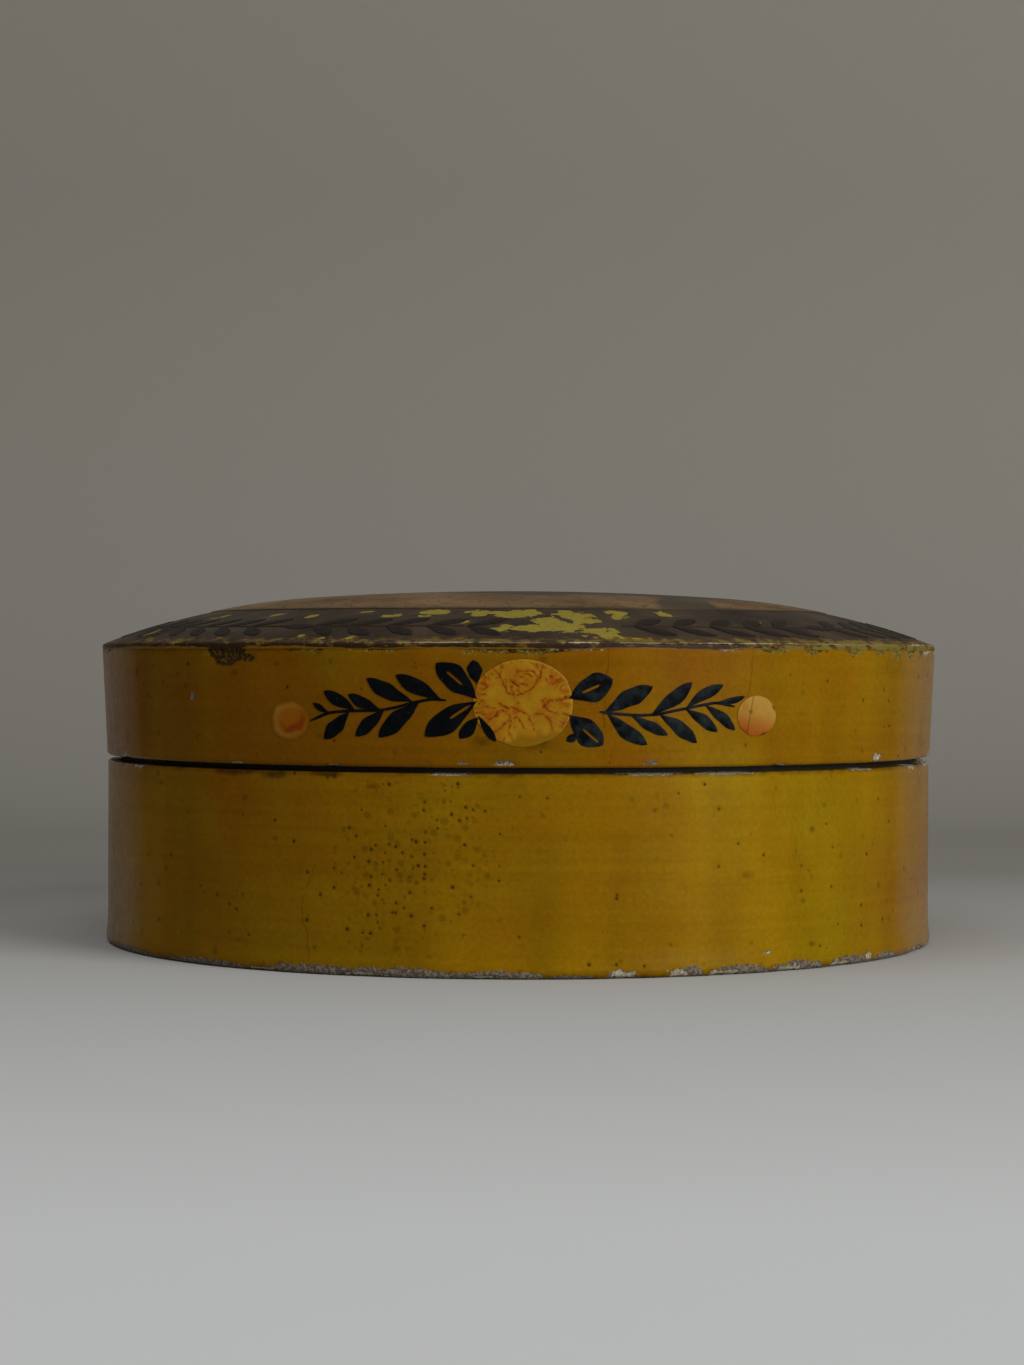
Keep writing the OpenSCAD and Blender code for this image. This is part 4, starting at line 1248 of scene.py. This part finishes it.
# %% Flower paper
FLOWER_MARKS = ("red", "ink", "edge", "fade")
flower_paper, tree, shader, place, mark = new_surface("printed_flower_paper", FLOWER_MARKS)
age, age_share = pattern(tree, place, 2.6, (0.36, 0.7), (0, 1), 4, 0.6)
red_share = add(tree, "Math", 0, {0: mark["red"], 1: 0.85}, operation="MULTIPLY")
worn_print = add(tree, "MapRange", 0, {0: age, 1: 0.3, 2: 0.7, 3: 0.95, 4: 0.5})
ink_share = add(tree, "Math", 0, {0: mark["ink"], 1: worn_print}, operation="MULTIPLY")
# A pale line along the upper right of the cut edge: paper showing at the cut, and a painted highlight.
pale_edge_and_highlight = add(tree, "MapRange", 0, {0: mark["edge"], 1: 0.965, 2: 0.99, 3: 0.0, 4: 0.6})
rub = add(tree, "Math", 0, {0: mark["fade"], 1: age}, operation="ADD")
rub = add(tree, "MapRange", 0, {0: rub, 1: 0.6, 2: 1.2, 3: 0.0, 4: 0.95})
coats = [
    (age_share, "#93660b"), (red_share, "#9a4a06"), (ink_share, "#5e2404"), (pale_edge_and_highlight, "#b08a3a"),
    (rub, "#83600a"),
]
tone = colour("#a97e18")
for share_here, over in coats:
    tone = add(tree, "Mix", 2, {0: share_here, 6: tone, 7: colour(over)}, data_type="RGBA")
# Paper fibres are about 0.4 mm long.
FIBRE = (0.4, MIDTONES, (0.3, 0.48))
fibre, rough = pattern(tree, place, *FIBRE)
dress(tree, shader, tone, rough, 0.05, fibre, 0.3, 0.05)
print("flower paper ready")


# %% Rosette: paste it on
def round_piece(name, node, material, flat, spokes, lay, centre, lift, marks):
    """A closed round sheet, with its front laid out in a disc for the finish."""
    front = polar_faces((len(flat) - 1) // spokes, spokes)
    points, faces = close_sheet(flat + np.array(centre), front, lay, lift)
    hidden = [n >= len(front) for n in range(len(faces))]
    twice = {mark: np.tile(values, 2) for mark, values in marks.items()}
    make_piece(name, points, faces, node, material, twice, disc_map(np.tile(flat, (2, 1)), faces, hidden))


pressed_edge = PAPER - 0.05 * share ** 6
# The snipped edge is marked on its upper right, where a painted highlight lies along the cut.
snipped_edge_and_highlight = share * (np.cos(np.arctan2(pz, px) - 0.6) > 0.1)
round_piece(
    "flower_rosette", "rosette_cutout", flower_paper, flat, SPOKES, on_wall, on_garland(0, 0),
    pressed_edge * (1 - 0.9 * rubbed), {"ink": ink, "red": red, "edge": snipped_edge_and_highlight, "fade": rubbed},
)

# %% [markdown]
# ## The fruit
# A round fruit ends the garland on each side. The right one is crisp: pale above, orange-red below, with a
# dark sliver of shadow at its lower right and a small spot. The left one is rubbed and soft, with a red
# crescent, and sinks into the ochre of the wall. Balls would be wrong, because these are flat prints: both
# are discs with their colours stored on their points.

# %% Fruit paper
fruit_paper, tree, shader, place, mark = new_surface("printed_fruit_paper", ("pale", "blush", "dark", "fade"))
_, mottled = pattern(tree, place, 1.4, MIDTONES, (1.0, 0.6), 4, 0.6)
blush = add(tree, "Math", 0, {0: mark["blush"], 1: mottled}, operation="MULTIPLY")
coats = [(mark["pale"], "#ab8236"), (blush, "#963404"), (mark["dark"], "#2a1606"), (mark["fade"], "#744a04")]
tone = colour("#95600a")
for share_here, over in coats:
    tone = add(tree, "Mix", 2, {0: share_here, 6: tone, 7: colour(over)}, data_type="RGBA")
fibre, rough = pattern(tree, place, *FIBRE)
dress(tree, shader, tone, rough, 0.05, fibre, 0.3, 0.05)
print("fruit paper ready")

# %% The two fruits
FRUIT_R = 2.35
FRUIT_RINGS = 26
flat, share = disc_points(angles, np.full(SPOKES, FRUIT_R), FRUIT_RINGS)
fx, fz = flat.T / FRUIT_R
soft = ripple(np.stack([fx, fz, 0 * fx], -1), 0.45, 5.9)
bearing = np.degrees(np.arctan2(fz, fx))
bits = np.exp(-(((bearing - 24) / 9) ** 2)) + np.exp(-(((bearing + 68) / 13) ** 2))
sliver = np.clip((share - 0.9) / 0.06, 0, 1) * np.clip(bits, 0, 1)
spot = np.clip(1.5 - np.hypot(fx + 0.32, fz - 0.2) / 0.09, 0, 1) * 0.6
fold = 0.5 * np.clip(1.4 - np.abs(fx + 0.36 - 0.18 * fz) / 0.035, 0, 1)
right_marks = {
    "pale": np.clip(0.7 + 0.35 * fz + 0.2 * fx + 0.45 * soft, 0, 1),
    "blush": np.clip(0.1 - 0.95 * fz + 0.35 * soft - 0.25 * fx, 0, 0.85),
    "dark": np.maximum(np.maximum(0.9 * sliver, spot), fold),
    "fade": 0 * fx,
}
from_heart = np.hypot(fx - 0.1, fz - 0.2)
lower_right = np.clip(0.5 + 1.1 * (0.7 * fx - fz) + 0.25 * soft, 0, 1)
crescent = np.exp(-((from_heart - 0.62 + 0.15 * soft) / 0.22) ** 2) * lower_right
left_fade = 0.1 + 0.9 * np.clip((share - 0.74) / 0.25 + 0.5 * soft, 0, 1)
left_marks = {
    "pale": np.clip(0.45 - 0.6 * fx + 0.2 * soft, 0, 0.55) * np.clip((share - 0.55) / 0.3, 0, 1),
    "blush": np.clip(1.1 * crescent + 0.55 * np.clip(1 - from_heart / 0.8, 0, 1), 0, 0.95),
    "dark": 0.35 * crescent,
    "fade": left_fade * (1 - 0.6 * crescent),
}
for side, spot_on, marks in (("right", (49.9, -2.8), right_marks), ("left", (-49.6, -4), left_marks)):
    lift = (PAPER - 0.05 * share ** 6) * (1 - 0.8 * marks["fade"])
    round_piece(
        side + "_fruit", side + "_fruit_cutout", fruit_paper, flat, SPOKES, on_wall, on_garland(*spot_on),
        lift, marks,
    )

# %% [markdown]
# ## The wreath and the panel on the crown
# Round the border of the dome runs a wreath of nine sprigs of the same dark paper, on one thin stem. A sprig
# has six pairs of leaves and ends in a single one. Inside the wreath a round of tan paper was pasted. Its
# picture, if it had one, can't be seen from the front, so it stays plain: aged paper, stained in clouds,
# under a varnish that has crazed into fine cells. Copies of one leaf would make the wreath quicker, but
# each leaf was cut by hand and gets a bend of its own.

# %% Build the wreath
WREATH_R = 49.2
SPRIGS = 9
STEPS = 7
WREATH_LEAF = (5.4, 1.9)
WREATH_ANGLE = 36
WREATH_THICK = 0.06
WREATH_GRID = (12, 3)
STEM_THICK = 0.04
STEM_HALF = 0.1
STEM_POINTS = 720
turns = np.arange(STEM_POINTS) * 2 * np.pi / STEM_POINTS
stem_r = WREATH_R + STEM_HALF * np.array([-1, 0, 1])[:, None]
flat = np.stack([(stem_r * np.cos(turns)).T.ravel(), (stem_r * np.sin(turns)).T.ravel()], -1)
wrapped = [tuple(v % len(flat) for v in face) for face in grid_faces(STEM_POINTS + 1, 3)]


def flaked_off(x, y):
    """Where the brown has flaked off at the front, the wreath went with it."""
    return abs(x - 3) < 9 and y < 0


left_over = [face for face in wrapped if not flaked_off(*flat[face[0]])]
sheets = [close_sheet(flat, left_over, on_dome, np.full(len(flat), STEM_THICK))]
for i in range(SPRIGS * STEPS):
    turn = i * 360 / SPRIGS / STEPS
    foot = (WREATH_R * math.cos(math.radians(turn)), WREATH_R * math.sin(math.radians(turn)))
    if flaked_off(*foot):
        continue
    for side in (0,) if i % STEPS == STEPS - 1 else (-WREATH_ANGLE, WREATH_ANGLE):
        how = (on_dome, NO_SLIT, WREATH_THICK, *WREATH_GRID)
        sheets.append(leaf_sheet(foot, turn + 90 + side, *WREATH_LEAF, *how))
points, faces = gather(sheets)
on_stem = np.arange(len(points)) < len(sheets[0][0])
marks = {"thin": np.full(len(points), 0.6), "veil": np.where(on_stem, 1.4, 0.4)}
make_piece("crown_leaf_wreath", points, faces, "crown_leaf_cutouts", leaf_paper, marks)

# %% Panel paper
panel_paper, tree, shader, place, mark = new_surface("tan_paper_under_crazed_varnish", ("smoke",))
clouds, cloud_share = pattern(tree, place, 13, (0.36, 0.66), (0, 1), 5, 0.6)
tone = add(tree, "Mix", 2, {0: cloud_share, 6: colour("#85673f"), 7: colour("#634a2b")}, data_type="RGBA")
level = add(tree, "Mapping", 0, {"Vector": place, "Scale": (0.25, 1, 1)})
streaks, streak_tone = pattern(tree, level, 2.2, MIDTONES, (0.86, 1.12), 4, 0.6)
tone = add(tree, "VectorMath", 0, {0: tone, "Scale": streak_tone}, operation="SCALE")
# Crazing cells are under a millimetre on the real varnish. They are drawn about 2 mm wide to show.
warp = add(tree, "TexNoise", "Color", {"Vector": place, "Scale": every(3), "Detail": 2.0})
warp = add(tree, "VectorMath", 0, {0: warp, "Scale": 1.1 * MM}, operation="SCALE")
craze_at = add(tree, "VectorMath", 0, {0: place, 1: warp}, operation="ADD")
cell_size = {"Vector": craze_at, "Scale": every(2.1)}
cells = add(tree, "TexVoronoi", "Distance", cell_size, feature="DISTANCE_TO_EDGE")
craze = add(tree, "MapRange", 0, {0: cells, 1: 0.02, 2: 0.07, 3: 0.55, 4: 0.0})
smoke_share = add(tree, "Math", 0, {0: mark["smoke"], 1: clouds}, operation="MULTIPLY")
smoke_share = add(tree, "MapRange", 0, {0: smoke_share, 1: 0.05, 2: 0.4, 3: 0.0, 4: 0.9})
for share_here, over in ((craze, "#2e2416"), (smoke_share, "#3d3226")):
    tone = add(tree, "Mix", 2, {0: share_here, 6: tone, 7: colour(over)}, data_type="RGBA")
rough = add(tree, "MapRange", 0, {0: clouds, 1: 0.3, 2: 0.7, 3: 0.34, 4: 0.5})
relief = add(tree, "Math", 0, {0: craze, 1: -1.0}, operation="MULTIPLY")
relief = add(tree, "Math", 0, {0: streaks, 1: 0.5, 2: relief}, operation="MULTIPLY_ADD")
dress(tree, shader, tone, rough, 0.08, relief, 0.4, 0.06)
print("panel paper ready")

# %% Build the panel
panel_r = box_mm("crown_panel")[1].x
PANEL_RINGS = 64
PANEL_SPOKES = 400
turns = np.arange(PANEL_SPOKES) * 2 * np.pi / PANEL_SPOKES
rim_points = panel_r * np.stack([np.cos(turns), np.sin(turns), 0 * turns], -1)
edge = panel_r - 0.16 + 0.14 * ripple(rim_points, 3.5, 7.7)
flat, share = disc_points(turns, edge, PANEL_RINGS)
smoke_ovals = [(8, 0, 26, 32), (-4, 2, 34, 20), (20.5, -33, 4.0, 12), (-14, 22, 20, 10)]
smoke = np.clip(3 * marked((flat[:, 0], flat[:, 1], FLAT_SHEET), smoke_ovals, 0.1), 0, 1)
smoke = np.maximum(smoke, np.clip((share - 0.965) / 0.035, 0, 1) * 0.8)
round_piece(
    "crown_panel_paper", "crown_panel", panel_paper, flat, PANEL_SPOKES, on_dome, (0, 0),
    PAPER - 0.05 * share ** 20, {"smoke": smoke},
)

# %% [markdown]
# ## Inside: collar, floor and linings
# The lid slips over a collar of pasted board, bare outside and rubbed by the lid. A dark ring of painted
# shade stands where the seam hides it. Collar, floor and lid are lined with cream paper that has yellowed
# and foxed, and a dark paper covers the underside. None of this shows in the picture, so it follows what
# such boxes have. Smooth cylinders would look moulded, so each surface gets a slight wave, as paper has.

# %% Board, lining and underside papers
def aged_paper(name, light, dark, fox_and_seam_shade, fibre_mm, fox_share):
    material, tree, shader, place, mark = new_surface(name, ("rubbed",))
    _, clouds = pattern(tree, place, 17, (0.34, 0.7), (0, 1), 5, 0.6)
    tone = add(tree, "Mix", 2, {0: clouds, 6: colour(light), 7: colour(dark)}, data_type="RGBA")
    fibre, fibre_tone = pattern(tree, place, fibre_mm, MIDTONES, (0.86, 1.08), 5, 0.7)
    tone = add(tree, "VectorMath", 0, {0: tone, "Scale": fibre_tone}, operation="SCALE")
    _, foxing = pattern(tree, place, 4.5, (0.60, 0.74), (0, fox_share), 4, 0.55)
    # On the collar the rubbed value also carries painted shade in the seam, mixed to the same dark colour.
    wear_and_seam_shade = add(tree, "Math", 0, {0: mark["rubbed"], 1: fibre}, operation="MULTIPLY")
    wear_and_seam_shade = add(tree, "MapRange", 0, {0: wear_and_seam_shade, 1: 0.2, 2: 0.55, 3: 0.0, 4: 0.95})
    for share in (foxing, wear_and_seam_shade):
        tone = add(tree, "Mix", 2, {0: share, 6: tone, 7: colour(fox_and_seam_shade)}, data_type="RGBA")
    rough = add(tree, "MapRange", 0, {0: fibre, 1: 0.3, 2: 0.7, 3: 0.72, 4: 0.92})
    dress(tree, shader, tone, rough, 0.3, fibre, 0.45, 0.08)
    return material


# The board's near-black foxing colour also paints the shade in the seam on the collar.
pasted_board = aged_paper("pasted_grey_brown_board", "#9a8460", "#7c6848", "#0e0904", 0.9, 0.25)
lining_paper = aged_paper("aged_cream_lining_paper", "#d2c19b", "#bda679", "#8c6433", 0.7, 0.6)
dark_paper = aged_paper("rubbed_brown_underside_paper", "#4f4231", "#382e21", "#76664b", 0.8, 0.4)
print("board and two papers for the inside")

# %% The collar
INSIDE_SEGMENTS = 256
ON_AXIS = 1e-6


def plain_turned(name, node, material, outline, wave, rub):
    """A turned piece, its surface slightly waved. Its rubbing and painted seam shade come from its points."""
    azimuth, radius, height, outward = turned(outline, INSIDE_SEGMENTS)
    inward = -wave * (0.5 + 0.5 * ripple(round_points(azimuth, radius, height), 11, 3.7))
    off_axis = radius > ON_AXIS
    radius = np.maximum(radius + inward * outward[:, 0] * off_axis, 0)
    height = height + inward * np.where(off_axis[0], outward[:, 1], np.sign(outward[:, 1]))
    rubbed = {"rubbed": rub(radius, height)}
    faces = ring_faces(INSIDE_SEGMENTS, len(outline))
    make_piece(name, round_points(azimuth, radius, height), faces, node, material, rubbed)


def collar_seam_shade_and_wear(radius, height):
    """A dark ring of painted shade where the seam hides the collar, and wear towards the top."""
    return 2.4 * np.exp(-(((height - base_h) / 3) ** 2)) + 0.5 * np.clip((height - 32) / 6, 0, 1)


collar_lo, collar_hi = box_mm("neck_collar")
collar_in = box_mm("floor_lining")[1].x
OUTER_ROUND = 0.4
INNER_ROUND = 0.3
collar_low, collar_top = collar_lo.z, collar_hi.z
collar_line = walk([(collar_hi.x, collar_low), (collar_hi.x, collar_top - OUTER_ROUND)], 0.6)[:-1]
collar_line += bow((collar_hi.x - OUTER_ROUND, collar_top - OUTER_ROUND), OUTER_ROUND, 0, 90, 6)
collar_line += bow((collar_in + INNER_ROUND, collar_top - INNER_ROUND), INNER_ROUND, 90, 180, 5)
inside_ends = [(collar_in, collar_top - 1.0), (collar_in, collar_low)]
inside_ends += [(collar_hi.x - OUTER_ROUND, collar_low)]
collar_line += walk(inside_ends, 3.0)
plain_turned("board_collar", "neck_collar", pasted_board, collar_line, 0.03, collar_seam_shade_and_wear)

# %% Floor, underside and floor lining
# A disc: piece, CAD node, paper, steps below and above, its first step, its wave, and how its rim is rubbed.
discs = [
    ("board_floor", "base_floor", pasted_board, 24, 24, 2, 0.02, (0, 0)),
    ("underside_covering", "underside_paper", dark_paper, 44, 12, 1, 0.04, (1.6, 0.7)),
    ("floor_lining_paper", "floor_lining", lining_paper, 12, 44, 1, 0.05, (3, 2.2)),
]
for name, node, paper, below, above, first, wave, (slope, start) in discs:
    disc_lo, disc_hi = box_mm(node)
    disc_line = [(0, disc_lo.z)] + [(r, disc_lo.z) for r in np.linspace(first, disc_hi.x, below)]
    disc_line += [(r, disc_hi.z) for r in np.linspace(disc_hi.x, first, above)] + [(0, disc_hi.z)]
    plain_turned(
        name, node, paper, disc_line, wave,
        lambda radius, height: np.clip(radius / disc_hi.x * slope - start, 0, 1),
    )

# %% Linings of the collar and the lid
LINING = 0.15
# A strip: piece, CAD node, step, wave, which end of it is rubbed (0 the lower, 1 the upper) and how far.
strips = [
    ("collar_lining_paper", "collar_lining", 0.7, 0.05, 1, 5),
    ("lid_wall_lining_paper", "lid_wall_lining", 0.5, 0.04, 0, 4),
]
for name, node, step, wave, end, far in strips:
    strip = box_mm(node)
    back_r = strip[1].x
    strip_line = walk([(back_r, strip[0].z), (back_r, strip[1].z)], 4.0)
    strip_line += walk([(back_r - LINING, strip[1].z), (back_r - LINING, strip[0].z)], step)
    plain_turned(
        name, node, lining_paper, strip_line, wave,
        lambda radius, height: np.clip(1 - np.abs(height - strip[end].z) / far, 0, 1),
    )

ceiling_lo, ceiling_hi = box_mm("lid_crown_lining")
paper_r = seat_r - LINING
ceiling_line = dome_line(0, paper_r, 60, -BOARD - LINING)
ceiling_line += [(paper_r, ceiling_lo.z), (ceiling_hi.x, ceiling_lo.z)]
ceiling_line += [(ceiling_hi.x, lid_top), (seat_r, lid_top)]
ceiling_line += dome_line(seat_r, 0, 16, -BOARD)
plain_turned(
    "crown_lining_paper", "lid_crown_lining", lining_paper, ceiling_line, 0.04,
    lambda radius, height: np.clip(radius / seat_r * 3 - 2.3, 0, 1),
)
